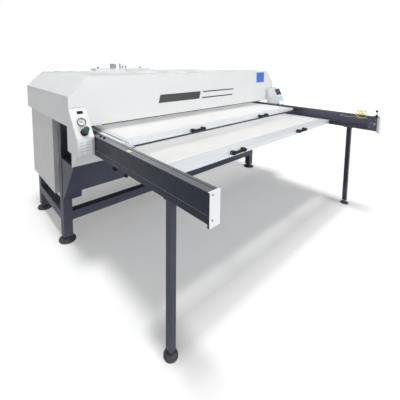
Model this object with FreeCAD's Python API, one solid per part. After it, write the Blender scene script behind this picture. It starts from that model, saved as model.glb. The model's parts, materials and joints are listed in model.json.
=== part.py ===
import FreeCAD, Part
import math
import os

V = FreeCAD.Vector
X_AXIS = V(1, 0, 0)
Y_AXIS = V(0, 1, 0)
Z_AXIS = V(0, 0, 1)

# All lengths are in millimetres. +X runs along the machine, +Y to the back, +Z up.
# The origin is on the floor, at the centre of the footprint. y = 0 is the plane of the front cover.

# Hood
HOOD_HALF = 1480.0
HOOD_DEPTH = 1370.0
HOOD_TOP = 1530.0
HOOD_SHOULDER = 1370.0
SHOULDER_RUN = 170.0
SKIRT_BOTTOM = 1130.0
OPENING_TOP = 1115.0
SHEET = 2.0
FRONT_LIP = 25.0
COVER_LAP = 20.0
HOOD_BAR = 30.0
HOOD_BAR_WALL = 2.0
HOOD_BAR_FRONT = 5.0
HOOD_BAR_BACK = 1335.0
STRUT_X = (-1300.0, -15.0, 1270.0)
VENT_X = 850.0
VENT_HALF = 150.0
VENT_ROWS = 6
VENT_FIRST = 1240.0
VENT_PITCH = 22.0
VENT_HEIGHT = 8.0
REAR_PANEL_HALF = 1370.0
REAR_PANEL_BOTTOM = 480.0

# Screw heads
SCREW_RISE = 2.5
SIDE_SCREW_Y = (340.0, 900.0)
SIDE_SCREW_Z = 1146.0
SIDE_SCREW_RADIUS = 6.0
FRONT_SCREW_X = (-1120.0, -380.0, 380.0, 1120.0)
FRONT_SCREW_Z = 1134.0
FRONT_SCREW_RADIUS = 5.0
CAP_SCREW_INSET = 20.0
CAP_SCREW_Z = (938.0, 1057.0)
STOP_SCREWS = ((-1285.0, 1042.0), (-1330.0, 1042.0), (-1285.0, 956.0))
RAIL_BOLT_Y = (-194.0, -256.0)
RAIL_BOLT_RADIUS = 9.0
RAIL_BOLT_INSET = 36.0

# Consoles
CONSOLE_WIDTH = 137.0
CONSOLE_TOP = 1277.0
CONSOLE_NOSE = -164.0
CONSOLE_CREASE = 1066.0
CONSOLE_BOTTOM = 924.0
CONSOLE_HEEL_Y = -36.0
CONSOLE_HEEL_Z = 814.0
HEEL_LAP = 5.0
HEEL_WING = 141.0
WING_PLAY = 2.0
CHEEK_STEP_Y = 43.0
CHEEK_STEP_Z = 930.0
POD_TOP = 1280.0
POD_FLAT = -103.0
POD_NOSE = -207.0
POD_CREASE = 1080.0

# Frame
POST = 80.0
POST_OUTER = 1457.0
POST_TOP = 1312.0
POST_BOTTOM = 48.0
FRONT_POST_Y = 286.0
REAR_POST_Y = 1030.0
TUBE_WALL = 4.0
LOW_BEAM_Z = 197.0
GIRDER_BOTTOM = 450.0
GIRDER_TOP = 700.0
GIRDER_WALL = 8.0
GIRDER_INSET = 4.0
GIRDER_FLANGE = 60.0
BRACKET_INNER = 1290.0
BRACKET_HEAD_OUTER = 1400.0
BRACKET_TIP_Z = 782.0
BRACKET_SHELF_Z = 800.0
BRACKET_ROOT_Z = 395.0
BRACKET_HEAD_Y = 60.0
SPACER_LENGTH = 70.0
SPACER_BOTTOM = 935.0
SPACER_TOP = 1055.0

# Levelling feet: plate radius and height, dome base, dome tip and height, nut radius
MAIN_FOOT = (75.0, 12.0, 60.0, 22.0, 20.0, 18.0)
LEG_FOOT = (42.0, 10.0, 34.0, 14.0, 14.0, 12.0)

# Rails
RAIL_INNER = 1272.0
RAIL_WIDTH = 70.0
RAIL_BOTTOM = 920.0
RAIL_TOP = 1070.0
RAIL_FRONT = -1356.0
RAIL_BACK = 1250.0
CAP_FRONT = -1370.0
CAP_BOTTOM = 902.0
CAP_RETURN = 22.0
SLOT_WIDTH = 5.0
SLOT_DEPTH = 12.0
SLOT_INSET = 47.0
RAIL_WALL = 6.0
RAIL_TOP_WALL = 20.0
GROOVE_DEPTH = 1.5
GROOVE_BOTTOM = 959.0
GROOVE_TOP = 962.0
RAIL_KNOB_INSET = 18.0
RAIL_KNOB_STUD = 14.0
RAIL_KNOB_LOBES = 5
FRONT_KNOB = (-611.0, 10.0, 18.0)
REAR_KNOB = (-459.0, 14.0, 20.0)

# Support legs
LEG_X = 1322.0
LEG_Y = -1077.0
LEG_TUBE = 40.0
LEG_WALL = 2.5
LEG_BOTTOM = 40.0
LEG_FLANGE = 6.0
LEG_FLANGE_HALF = 45.0

# Trays
TRAY_HALF = 1211.0
TRAY_DEPTH = 1260.0
TRAY_HEIGHT = 40.0
TRAY_EDGE = 25.0
TRAY_FRONT_EDGE = 100.0
PAD_THICKNESS = 13.0
UPPER_TRAY_FRONT = -461.0
UPPER_TRAY_TOP = 1061.0
LOWER_TRAY_FRONT = -896.0
LOWER_TRAY_TOP = 978.0
HANDLE_X = (-532.0, 488.0)
HANDLE_LENGTH = 152.0
HANDLE_BLOCK = 28.0
HANDLE_REACH = 32.0
HANDLE_BAR = 11.0
HANDLE_DROP = 4.0
TRAY_PLATE = 6.0
PAD_GAP = 1.0
PAD_RISE = 3.0

# Rollers and tracks
ROLLER_RADIUS = 12.0
ROLLER_WIDTH = 10.0
ROLLER_BORE = 5.05
AXLE_RADIUS = 5.0
ROLLER_INSET = 70.0
TRACK_WALL = 3.0
TRACK_DEPTH = 30.0
TRACK_LIP = 25.0
UPPER_TRACK_FRONT = -560.0
LOWER_LIP_FRONT = -960.0
ROLLER_X = RAIL_INNER - TRACK_DEPTH + 8.0
TRACK_PLAY = 0.1
TRACK_FRONT = -1262.0
TRACK_BACK = 1240.0
STOP_FRONT = -1345.0
STOP_PLATE = 6.0
STOP_BOTTOM = 940.0
STOP_TOP = 1058.0
AXLE_HEAD = 3.0
AXLE_END = 2.5
AXLE_PLAY = 0.5

# Press
PLATEN_HALF = 1190.0
PLATEN_FRONT = 70.0
PLATEN_BACK = 1270.0
PLATEN_BOTTOM = 1100.0
PLATEN_THICKNESS = 40.0
ELEMENT_RADIUS = 6.0
ELEMENT_COUNT = 9
ELEMENT_INSET = 20.0
ELEMENT_MARGIN = 100.0
INSULATION = 40.0
HANGER_X = (-1000.0, -350.0, 350.0, 1000.0)
HANGER_Y = (330.0, 1070.0)
HANGER_RADIUS = 10.0
UPPER_WALL = 6.0
STIFFENER_X = (-1180.0, -700.0, 0.0, 700.0, 1180.0)
STIFFENER = 60.0
STIFFENER_DROP = 70.0
SENSOR_X = 600.0
SENSOR_Y = 210.0
BED_HALF = 1180.0
BED_FRONT = 80.0
BED_BACK = 1260.0
BED_TOP = 815.0
BED_PLATE = 20.0
BED_RIB = 40.0
CROSS_X = (-900.0, 0.0, 900.0)
CROSS_WIDTH = 120.0
CROSS_TOP = 540.0
CROSS_WALL = 5.0
END_CROSS_WIDTH = 60.0
CYLINDER_Y = (450.0, 890.0)
CYLINDER_RADIUS = 50.0
CYLINDER_TOP = 710.0
CYLINDER_WALL = 6.0
CYLINDER_END = 10.0
PISTON_HEIGHT = 15.0
PISTON_PLAY = 0.1
ROD_RADIUS = 15.0
ROD_HEAD_RADIUS = 26.0
ROD_HEAD = 12.0
COLUMN_RADIUS = 20.0
COLUMN_X = 1080.0
COLUMN_Y = (420.0, 920.0)
BUSH_WALL = 14.0
BUSH_LENGTH = 250.0

# Extraction outlet on the hood
SPIGOT_X = -390.0
SPIGOT_Y = 1290.0
SPIGOT_RADIUS = 72.0
SPIGOT_HEIGHT = 64.0
PLATE_X0 = -715.0
PLATE_X1 = 125.0
PLATE_Y0 = 1205.0
PLATE_Y1 = 1365.0
PLATE_TOP = 1553.0
PLATE_KNOB_X = (-647.0, 8.0)
PLATE_KNOB_RADIUS = 12.0
PLATE_KNOB_HEIGHT = 14.0
PLATE_KNOB_STEM = 8.0
FITTING_Y = 1285.0
GRIP_X = (-268.0, -250.0)
GRIP_RING = 22.0
GRIP_BAR = 6.0
GRIP_HEIGHT = 10.0

# Controls
GAUGE_Y = -81.0
GAUGE_CASE = 30.0
GAUGE_RIM = 34.0
GAUGE_RISE = 12.0
GAUGE_CAN = 28.0
GAUGE_DIAL = 2.0
SPINDLE = 1.5
NEEDLE_REST = 60.0
KNOB_Y = -135.0
KNOB_SHAFT = 8.0
KNOB_COLLAR = 30.0
KNOB_RADIUS = 22.0
KNOB_BASE = 13.0
KNOB_HEIGHT = 49.0
KNOB_FLUTES = 12
HOLE_PLAY = 2.0
SWITCH_Y = -27.0
SWITCH_X = -1400.0
SWITCH_PIVOT = -4.0
BUTTON_X = (1375.0, 1440.0)
BUTTON_Y = -52.0
BUTTON_STEM = 8.0
BUTTON_RADIUS = 12.0
BUTTON_RISE = 4.0
COLLAR_RADIUS = 15.0
COLLAR_PLAY = 0.1
SCREEN_Y = -129.0
SCREEN_HALF_WIDTH = 60.0
SCREEN_HALF_HEIGHT = 43.0
SCREEN_RISE = 4.0
KEYS_Y = -177.0
KEYS_HALF_WIDTH = 56.0
KEYS_HALF_HEIGHT = 32.0
KEY_COLUMNS = (-36.0, -12.0, 12.0, 36.0)
KEY_ROWS = (-14.0, 14.0)

# Cabinets
CABINET_OUTER = 1462.0
CABINET_INNER = 1382.0
CABINET_FRONT = 500.0
CABINET_BACK = 1275.0
CABINET_BOTTOM = 392.0
CABINET_BRACKET_Z = (520.0, 900.0)
REAR_BRACKET_Z = (760.0, 1080.0)

# Air tank and control boxes
TANK_RADIUS = 62.0
TANK_Y = 670.0
TANK_LEFT = -900.0
SADDLE_HALF = 20.0
SADDLE_REACH = 45.0
SADDLE_HEIGHT = 30.0
GLAND_COUNT = 4
COIL_COUNT = 4

# Hand valve on the right rail
VALVE_X = 1314.0
VALVE_Y = -1330.0
LEVER_PIN_HEIGHT = 14.0
LEVER_LENGTH = 46.0
BALL_RADIUS = 12.5
PIN_RADIUS = 3.0
COIL_X = 1307.0
COIL_Y = -1238.0
COIL_PITCH = 17.0
COIL_TURNS = 6
COIL_RADIUS = 26.0
HOSE_RADIUS = 4.5
RUNNING_PLAY = 0.05


def box(x0, x1, y0, y1, z0, z1):
    """Block between two corners."""
    return Part.makeBox(x1 - x0, y1 - y0, z1 - z0, V(x0, y0, z0))


def rod(x, y, z, radius, length, axis=Z_AXIS):
    """Cylinder that starts at a point and runs along an axis."""
    return Part.makeCylinder(radius, length, V(x, y, z), axis)


def side_prism(points, x0, x1):
    """Outline given as (y, z) points, extruded from x0 to x1."""
    wire = Part.makePolygon([V(x0, y, z) for y, z in points] + [V(x0, points[0][0], points[0][1])])
    return Part.Face(wire).extrude(V(x1 - x0, 0, 0))


def front_prism(points, y0, y1):
    """Outline given as (x, z) points, extruded from y0 to y1."""
    wire = Part.makePolygon([V(x, y0, z) for x, z in points] + [V(points[0][0], y0, points[0][1])])
    return Part.Face(wire).extrude(V(0, y1 - y0, 0))


def plan_prism(points, z0, z1):
    """Outline given as (x, y) points, extruded from z0 to z1."""
    wire = Part.makePolygon([V(x, y, z0) for x, y in points] + [V(points[0][0], points[0][1], z0)])
    return Part.Face(wire).extrude(V(0, 0, z1 - z0))


def mirrored(shape):
    """The same piece on the other side of the machine."""
    return shape.mirror(V(0, 0, 0), X_AXIS)


def both_sides(shape):
    return Part.makeCompound([shape, mirrored(shape)])


def fused(shapes):
    """One solid made of touching or overlapping pieces."""
    result = shapes[0]
    for shape in shapes[1:]:
        result = result.fuse(shape)
    return result.removeSplitter()


def group(shapes):
    """Separate solids that share one node."""
    return Part.makeCompound(shapes)


def square_tube_x(x0, x1, y0, z0, side, wall):
    """Square tube along X."""
    outer = box(x0, x1, y0, y0 + side, z0, z0 + side)
    inner = box(x0, x1, y0 + wall, y0 + side - wall, z0 + wall, z0 + side - wall)
    return outer.cut(inner)


def square_tube_y(x0, y0, y1, z0, side, wall):
    """Square tube along Y."""
    outer = box(x0, x0 + side, y0, y1, z0, z0 + side)
    inner = box(x0 + wall, x0 + side - wall, y0, y1, z0 + wall, z0 + side - wall)
    return outer.cut(inner)


def square_tube_z(x0, y0, z0, z1, side, wall):
    """Square tube along Z with a closed foot end."""
    outer = box(x0, x0 + side, y0, y0 + side, z0, z1)
    inner = box(x0 + wall, x0 + side - wall, y0 + wall, y0 + side - wall, z0 + wall, z1)
    return outer.cut(inner)


def tilted(shape, angle, y, z, x=0.0):
    """Turn a piece drawn flat (its outward side up) onto a leaning panel at (y, z)."""
    copy = shape.copy()
    copy.rotate(V(0, 0, 0), X_AXIS, angle)
    copy.translate(V(x, y, z))
    return copy


def lean_point(y):
    """Height of the left console's leaning panel at a depth y."""
    return CONSOLE_TOP + (CONSOLE_CREASE - CONSOLE_TOP) * y / CONSOLE_NOSE


def pod_point(y):
    """Height of the right console's leaning panel at a depth y."""
    return POD_TOP + (POD_CREASE - POD_TOP) * (y - POD_FLAT) / (POD_NOSE - POD_FLAT)


LEAN_ANGLE = math.degrees(math.atan2(CONSOLE_TOP - CONSOLE_CREASE, -CONSOLE_NOSE))
POD_ANGLE = math.degrees(math.atan2(POD_TOP - POD_CREASE, POD_FLAT - POD_NOSE))
CONSOLE_MID = HOOD_HALF - 70.0


# ---------------------------------------------------------------- hood

def front_cover():
    half = HOOD_HALF - SHEET
    inner = HOOD_HALF - CONSOLE_WIDTH - SHEET
    outline = [
        (-half, CONSOLE_TOP + SHEET), (-half, HOOD_SHOULDER), (-half + SHOULDER_RUN, HOOD_TOP - SHEET),
        (half - SHOULDER_RUN, HOOD_TOP - SHEET), (half, HOOD_SHOULDER), (half, POD_TOP + SHEET),
        (inner, POD_TOP + SHEET), (inner, OPENING_TOP), (-inner, OPENING_TOP), (-inner, CONSOLE_TOP + SHEET),
    ]
    sheet = front_prism(outline, 0, SHEET)
    lip = box(-inner, inner, SHEET, FRONT_LIP, OPENING_TOP, OPENING_TOP + SHEET)
    return fused([sheet, lip])


def top_cover():
    outer = [
        (-HOOD_HALF, HOOD_SHOULDER), (-HOOD_HALF + SHOULDER_RUN, HOOD_TOP),
        (HOOD_HALF - SHOULDER_RUN, HOOD_TOP), (HOOD_HALF, HOOD_SHOULDER),
    ]
    inner = [
        (HOOD_HALF - SHEET, HOOD_SHOULDER), (HOOD_HALF - SHOULDER_RUN - SHEET, HOOD_TOP - SHEET),
        (-HOOD_HALF + SHOULDER_RUN + SHEET, HOOD_TOP - SHEET), (-HOOD_HALF + SHEET, HOOD_SHOULDER),
    ]
    sheet = front_prism(outer + inner, 0, HOOD_DEPTH)
    opening = rod(SPIGOT_X, SPIGOT_Y, HOOD_TOP - 10, SPIGOT_RADIUS - 6, 20)
    return sheet.cut(opening)


def side_cover_outline():
    return [
        (HOOD_DEPTH, SKIRT_BOTTOM), (HOOD_DEPTH, HOOD_SHOULDER), (0, HOOD_SHOULDER), (0, CONSOLE_TOP),
        (CONSOLE_NOSE, CONSOLE_CREASE), (CONSOLE_NOSE, CONSOLE_BOTTOM), (CONSOLE_HEEL_Y, CONSOLE_HEEL_Z),
        (CONSOLE_HEEL_Y - HEEL_LAP, CHEEK_STEP_Z), (CHEEK_STEP_Y, CHEEK_STEP_Z), (CHEEK_STEP_Y, SKIRT_BOTTOM),
    ]


def left_side_cover():
    return side_prism(side_cover_outline(), -HOOD_HALF, -HOOD_HALF + SHEET)


def right_side_cover():
    outline = [
        (HOOD_DEPTH, SKIRT_BOTTOM), (HOOD_DEPTH, HOOD_SHOULDER), (0, HOOD_SHOULDER), (0, POD_TOP),
        (POD_FLAT, POD_TOP), (POD_NOSE, POD_CREASE), (POD_NOSE, CONSOLE_BOTTOM),
        (CONSOLE_HEEL_Y, CONSOLE_HEEL_Z), (CONSOLE_HEEL_Y - HEEL_LAP, CHEEK_STEP_Z),
        (CHEEK_STEP_Y, CHEEK_STEP_Z), (CHEEK_STEP_Y, SKIRT_BOTTOM),
    ]
    return side_prism(outline, HOOD_HALF - SHEET, HOOD_HALF)


def rear_cover():
    half = HOOD_HALF - SHEET
    outline = [
        (-half, SKIRT_BOTTOM), (-half, HOOD_SHOULDER), (-half + SHOULDER_RUN, HOOD_TOP - SHEET),
        (half - SHOULDER_RUN, HOOD_TOP - SHEET), (half, HOOD_SHOULDER), (half, SKIRT_BOTTOM),
    ]
    sheet = front_prism(outline, HOOD_DEPTH - SHEET, HOOD_DEPTH)
    vents = []
    for middle in (-VENT_X, VENT_X):
        for row in range(VENT_ROWS):
            z = VENT_FIRST + VENT_PITCH * row
            vent = box(middle - VENT_HALF, middle + VENT_HALF, HOOD_DEPTH - 5, HOOD_DEPTH, z, z + VENT_HEIGHT)
            vents.append(vent)
    return sheet.cut(group(vents))


def lower_rear_cover():
    half = REAR_PANEL_HALF
    return box(-half, half, CABINET_BACK, CABINET_BACK + SHEET, REAR_PANEL_BOTTOM, SKIRT_BOTTOM + COVER_LAP)


def hood_frame():
    """Square tubes inside the hood that the covers are screwed to, standing on the posts."""
    bar = HOOD_BAR
    z = HOOD_TOP - SHEET - bar
    half = HOOD_HALF - SHOULDER_RUN - SHEET
    pieces = [
        square_tube_x(-half, half, HOOD_BAR_FRONT, z, bar, HOOD_BAR_WALL),
        square_tube_x(-half, half, HOOD_BAR_BACK, z, bar, HOOD_BAR_WALL),
    ]
    for x in (-half, -bar / 2, half - bar):
        pieces.append(square_tube_y(x, HOOD_BAR_FRONT + bar, HOOD_BAR_BACK, z, bar, HOOD_BAR_WALL))
    return group(pieces)


def hood_frame_struts():
    """Uprights between the upper girders and the hood frame."""
    pieces = []
    inset = (POST - HOOD_BAR) / 2
    for x in STRUT_X:
        for y in (FRONT_POST_Y + inset, REAR_POST_Y + inset):
            pieces.append(box(x, x + HOOD_BAR, y, y + HOOD_BAR, POST_TOP, HOOD_TOP - SHEET - HOOD_BAR))
    return group(pieces)


def service_plate():
    body = box(PLATE_X0, PLATE_X1, PLATE_Y0, PLATE_Y1, HOOD_TOP, PLATE_TOP)
    hollow = box(
        PLATE_X0 + SHEET, PLATE_X1 - SHEET, PLATE_Y0 + SHEET, PLATE_Y1 - SHEET, HOOD_TOP, PLATE_TOP - SHEET,
    )
    hole = rod(SPIGOT_X, SPIGOT_Y, HOOD_TOP, SPIGOT_RADIUS - SHEET, SPIGOT_HEIGHT)
    return body.cut(hollow).cut(hole)


def extraction_spigot():
    tube = rod(SPIGOT_X, SPIGOT_Y, PLATE_TOP, SPIGOT_RADIUS, SPIGOT_HEIGHT)
    return tube.cut(rod(SPIGOT_X, SPIGOT_Y, PLATE_TOP, SPIGOT_RADIUS - SHEET, SPIGOT_HEIGHT))


def plate_knobs():
    pieces = []
    for x in PLATE_KNOB_X:
        stem = rod(x, FITTING_Y, PLATE_TOP, PLATE_KNOB_RADIUS / 2, PLATE_KNOB_STEM)
        head = rod(x, FITTING_Y, PLATE_TOP + PLATE_KNOB_STEM, PLATE_KNOB_RADIUS, PLATE_KNOB_HEIGHT)
        pieces.append(fused([stem, head]))
    return group(pieces)


def plate_grips():
    """Two curved black grips that bow away from each other."""
    pieces = []
    reach = GRIP_RING + 2 * GRIP_BAR
    for x, turn in ((GRIP_X[0], 180.0), (GRIP_X[1], 0.0)):
        ring = Part.makeTorus(GRIP_RING, GRIP_BAR, V(0, 0, 0), Y_AXIS)
        half = ring.common(box(0, reach, -reach, reach, -GRIP_HEIGHT, reach))
        half.rotate(V(0, 0, 0), Z_AXIS, turn)
        half.translate(V(x, FITTING_Y, PLATE_TOP + GRIP_HEIGHT))
        pieces.append(half)
    return group(pieces)


def hood_screws():
    pieces = []
    for y in SIDE_SCREW_Y:
        pieces.append(both_sides(rod(HOOD_HALF, y, SIDE_SCREW_Z, SIDE_SCREW_RADIUS, SCREW_RISE, X_AXIS)))
    for x in FRONT_SCREW_X:
        pieces.append(rod(x, -SCREW_RISE, FRONT_SCREW_Z, FRONT_SCREW_RADIUS, SCREW_RISE, Y_AXIS))
    return group(pieces)


# ---------------------------------------------------------------- consoles

def folded(profile, thickness):
    """Closed (y, z) outline of a sheet bent along the points, thickened towards the machine."""
    offset = []
    for index, (y, z) in enumerate(profile):
        before = profile[max(index - 1, 0)]
        after = profile[min(index + 1, len(profile) - 1)]
        normals = []
        for first, second in ((before, (y, z)), ((y, z), after)):
            dy = second[0] - first[0]
            dz = second[1] - first[1]
            length = math.hypot(dy, dz)
            if length > 0:
                normals.append((-dz / length, dy / length))
        ny = sum(n[0] for n in normals) / len(normals)
        nz = sum(n[1] for n in normals) / len(normals)
        scale = thickness / (ny * ny + nz * nz)
        offset.append((y + ny * scale, z + nz * scale))
    return profile + offset[::-1]


def heel_wing(x, nose, spread):
    """Mitred wing of the heel that carries on inwards from the cheek and passes under the rail."""
    x0, x1 = sorted((x, x + spread))
    heel = folded([(nose, CONSOLE_BOTTOM), (CONSOLE_HEEL_Y, CONSOLE_HEEL_Z)], SHEET)
    plan = [(x, nose), (x + spread, CONSOLE_HEEL_Y), (x, CONSOLE_HEEL_Y)]
    return side_prism(heel, x0, x1).common(plan_prism(plan, 0, RAIL_BOTTOM - WING_PLAY))


def left_console():
    x0 = -HOOD_HALF + SHEET
    x1 = -HOOD_HALF + CONSOLE_WIDTH
    profile = [
        (0, CONSOLE_TOP), (CONSOLE_NOSE, CONSOLE_CREASE), (CONSOLE_NOSE, CONSOLE_BOTTOM),
        (CONSOLE_HEEL_Y, CONSOLE_HEEL_Z),
    ]
    skin = side_prism(folded(profile, SHEET), x0, x1)
    cheek_outline = profile + [(CONSOLE_HEEL_Y - HEEL_LAP, CHEEK_STEP_Z), (0, CHEEK_STEP_Z)]
    cheek = side_prism(cheek_outline, x1 - SHEET, x1)
    ahead_of_cover = box(x0, x1, 2 * CONSOLE_NOSE, 0, 0, HOOD_TOP)
    shell = fused([skin, cheek]).common(ahead_of_cover)
    body = fused([shell, heel_wing(x1 - SHEET, CONSOLE_NOSE, HEEL_WING)])
    reach = 15.0
    holes = [
        on_left(rod(0, 0, -reach, GAUGE_CASE, 2 * reach), GAUGE_Y),
        on_left(rod(0, 0, -reach, KNOB_SHAFT + HOLE_PLAY, 2 * reach), KNOB_Y),
        on_left(box(-19, 19, -9, 9, -reach, reach), SWITCH_Y, SWITCH_X),
    ]
    return body.cut(group(holes))


def right_console():
    x0 = HOOD_HALF - CONSOLE_WIDTH
    x1 = HOOD_HALF - SHEET
    profile = [
        (0, POD_TOP), (POD_FLAT, POD_TOP), (POD_NOSE, POD_CREASE), (POD_NOSE, CONSOLE_BOTTOM),
        (CONSOLE_HEEL_Y, CONSOLE_HEEL_Z),
    ]
    skin = side_prism(folded(profile, SHEET), x0, x1)
    cheek_outline = profile + [(CONSOLE_HEEL_Y - HEEL_LAP, CHEEK_STEP_Z), (0, CHEEK_STEP_Z)]
    cheek = side_prism(cheek_outline, x0, x0 + SHEET)
    ahead_of_cover = box(x0, x1, 2 * POD_NOSE, 0, 0, HOOD_TOP)
    shell = fused([skin, cheek]).common(ahead_of_cover)
    body = fused([shell, heel_wing(x0 + SHEET, POD_NOSE, -HEEL_WING)])
    reach = 30.0
    holes = [rod(x, BUTTON_Y, POD_TOP - reach, BUTTON_STEM + HOLE_PLAY, 2 * reach) for x in BUTTON_X]
    return body.cut(group(holes))


def on_left(shape, y, x=-CONSOLE_MID):
    return tilted(shape, LEAN_ANGLE, y, lean_point(y), x)


def on_right(shape, y, x):
    return tilted(shape, POD_ANGLE, y, pod_point(y), x)


def gauge_case():
    """Round case through the panel, with a rim that stands on it and a spindle for the needle."""
    rim = rod(0, 0, 0, GAUGE_RIM, GAUGE_RISE).cut(rod(0, 0, 0, GAUGE_CASE, GAUGE_RISE))
    can = rod(0, 0, -GAUGE_CAN, GAUGE_CASE, GAUGE_CAN + GAUGE_DIAL)
    spindle = rod(0, 0, GAUGE_DIAL, SPINDLE, 6)
    return on_left(fused([rim, can, spindle]), GAUGE_Y)


def gauge_needle():
    """Tapered pointer with a round hub that turns on the spindle."""
    hub_bottom = GAUGE_DIAL + 2.5
    hub = rod(0, 0, hub_bottom, 4, 3)
    tail = 8.0
    tip = 23.0
    outline = [V(-1.6, -tail, 0), V(1.6, -tail, 0), V(0.5, tip, 0), V(-0.5, tip, 0), V(-1.6, -tail, 0)]
    blade = Part.Face(Part.makePolygon(outline)).extrude(V(0, 0, 1))
    blade.translate(V(0, 0, hub_bottom + 1))
    needle = fused([hub, blade]).cut(rod(0, 0, 0, SPINDLE + RUNNING_PLAY, GAUGE_RISE))
    needle.rotate(V(0, 0, 0), Z_AXIS, NEEDLE_REST)
    return on_left(needle, GAUGE_Y)


def gauge_glass():
    return on_left(rod(0, 0, GAUGE_RISE - 3, GAUGE_CASE, 2), GAUGE_Y)


def regulator_body():
    """Round bonnet and shaft in front of the panel, with the valve block behind it."""
    block_top = -45.0
    block_half = 20.0
    bonnet = rod(0, 0, 0, KNOB_COLLAR, KNOB_BASE - 1)
    shaft = rod(0, 0, KNOB_BASE - 1, KNOB_SHAFT, KNOB_HEIGHT - 10)
    tail = rod(0, 0, block_top, KNOB_SHAFT + HOLE_PLAY, -block_top)
    block = box(-block_half, block_half, -block_half, block_half, block_top - 30, block_top)
    return on_left(fused([bonnet, shaft, tail, block]), KNOB_Y)


def regulator_knob():
    """Fluted knob over the regulator's shaft."""
    body = rod(0, 0, KNOB_BASE, KNOB_RADIUS, KNOB_HEIGHT)
    flutes = []
    reach = KNOB_RADIUS + 1.5
    for index in range(KNOB_FLUTES):
        angle = 2 * math.pi * index / KNOB_FLUTES
        flutes.append(rod(reach * math.cos(angle), reach * math.sin(angle), KNOB_BASE, 3, KNOB_HEIGHT - 6))
    bore = rod(0, 0, KNOB_BASE, KNOB_SHAFT + RUNNING_PLAY, KNOB_HEIGHT - 10)
    return on_left(body.cut(group(flutes)).cut(bore), KNOB_Y)


def switch_bezel():
    """Rim and case of the switch, bored for the rocker's pin."""
    rim = box(-23, 23, -12, 12, 0, 3)
    case = box(-18.5, 18.5, -8.5, 8.5, -22, 0)
    well = box(-16.5, 16.5, -7, 7, -14, 3)
    bore = rod(0, -8.5, SWITCH_PIVOT, SPINDLE + RUNNING_PLAY, 17, Y_AXIS)
    return on_left(fused([rim, case]).cut(well).cut(bore), SWITCH_Y, SWITCH_X)


def switch_rocker():
    """Rocker that tips about a pin across its short side."""
    outline = [(-14, -6), (14, -6), (14, 2.5), (0, 0.8), (-14, 2.5)]
    body = front_prism(outline, -6.5, 6.5)
    pin = rod(0, -8.2, SWITCH_PIVOT, SPINDLE, 16.4, Y_AXIS)
    return on_left(fused([body, pin]), SWITCH_Y, SWITCH_X)


def control_screen():
    half_x = SCREEN_HALF_WIDTH
    half_y = SCREEN_HALF_HEIGHT
    return on_right(box(-half_x, half_x, -half_y, half_y, 0, SCREEN_RISE), SCREEN_Y, CONSOLE_MID)


def key_panel():
    plate = box(-KEYS_HALF_WIDTH, KEYS_HALF_WIDTH, -KEYS_HALF_HEIGHT, KEYS_HALF_HEIGHT, 0, 2)
    keys = []
    for column in KEY_COLUMNS:
        for row in KEY_ROWS:
            keys.append(box(column - 9, column + 9, row - 8, row + 8, 2, 4))
    return on_right(fused([plate] + keys), KEYS_Y, CONSOLE_MID)


def button_collars():
    pieces = []
    for x in BUTTON_X:
        collar = rod(x, BUTTON_Y, POD_TOP, COLLAR_RADIUS, 5)
        pieces.append(collar.cut(rod(x, BUTTON_Y, POD_TOP, BUTTON_RADIUS + COLLAR_PLAY, 5)))
    return group(pieces)


def button(x):
    stem_reach = 26.0
    cap = rod(x, BUTTON_Y, POD_TOP + BUTTON_RISE, BUTTON_RADIUS, 7)
    stem = rod(x, BUTTON_Y, POD_TOP - stem_reach, BUTTON_STEM, stem_reach + BUTTON_RISE)
    return fused([cap, stem])


# ---------------------------------------------------------------- frame

def side_frame(side):
    """Two posts and the side beams of one end of the machine."""
    x0 = -POST_OUTER
    posts = []
    for y in (FRONT_POST_Y, REAR_POST_Y):
        posts.append(square_tube_z(x0, y, POST_BOTTOM, POST_TOP, POST, TUBE_WALL))
    y0 = FRONT_POST_Y + POST
    beams = [square_tube_y(x0, y0, REAR_POST_Y, LOW_BEAM_Z, POST, TUBE_WALL)]
    beams.append(square_tube_y(x0, y0, REAR_POST_Y, POST_TOP - POST, POST, TUBE_WALL))
    frame = fused(posts + beams)
    return frame if side < 0 else mirrored(frame)


def post_inner():
    return POST_OUTER - POST


def lower_beam(y):
    return square_tube_x(-post_inner(), post_inner(), y, LOW_BEAM_Z, POST, TUBE_WALL)


def girder(y_web, direction):
    """Deep channel between the posts, with flanges towards the middle of the machine."""
    half = post_inner()
    wall = GIRDER_WALL
    web_y = sorted([y_web, y_web + direction * wall])
    flange_y = sorted([y_web, y_web + direction * GIRDER_FLANGE])
    web = box(-half, half, web_y[0], web_y[1], GIRDER_BOTTOM, GIRDER_TOP)
    low = box(-half, half, flange_y[0], flange_y[1], GIRDER_BOTTOM, GIRDER_BOTTOM + wall)
    high = box(-half, half, flange_y[0], flange_y[1], GIRDER_TOP - wall, GIRDER_TOP)
    return fused([web, low, high])


def cross_members():
    """Beams from girder to girder that carry the air cylinders and guide columns."""
    y0 = FRONT_POST_Y + GIRDER_INSET + GIRDER_WALL
    y1 = REAR_POST_Y + POST - GIRDER_INSET - GIRDER_WALL
    z0 = GIRDER_BOTTOM + GIRDER_WALL
    wall = CROSS_WALL
    pieces = []
    for x in CROSS_X + (-COLUMN_X, COLUMN_X):
        half = (CROSS_WIDTH if x in CROSS_X else END_CROSS_WIDTH) / 2
        outer = box(x - half, x + half, y0, y1, z0, CROSS_TOP)
        inner = box(x - half + wall, x + half - wall, y0, y1, z0 + wall, CROSS_TOP - wall)
        pieces.append(outer.cut(inner))
    return group(pieces)


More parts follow.
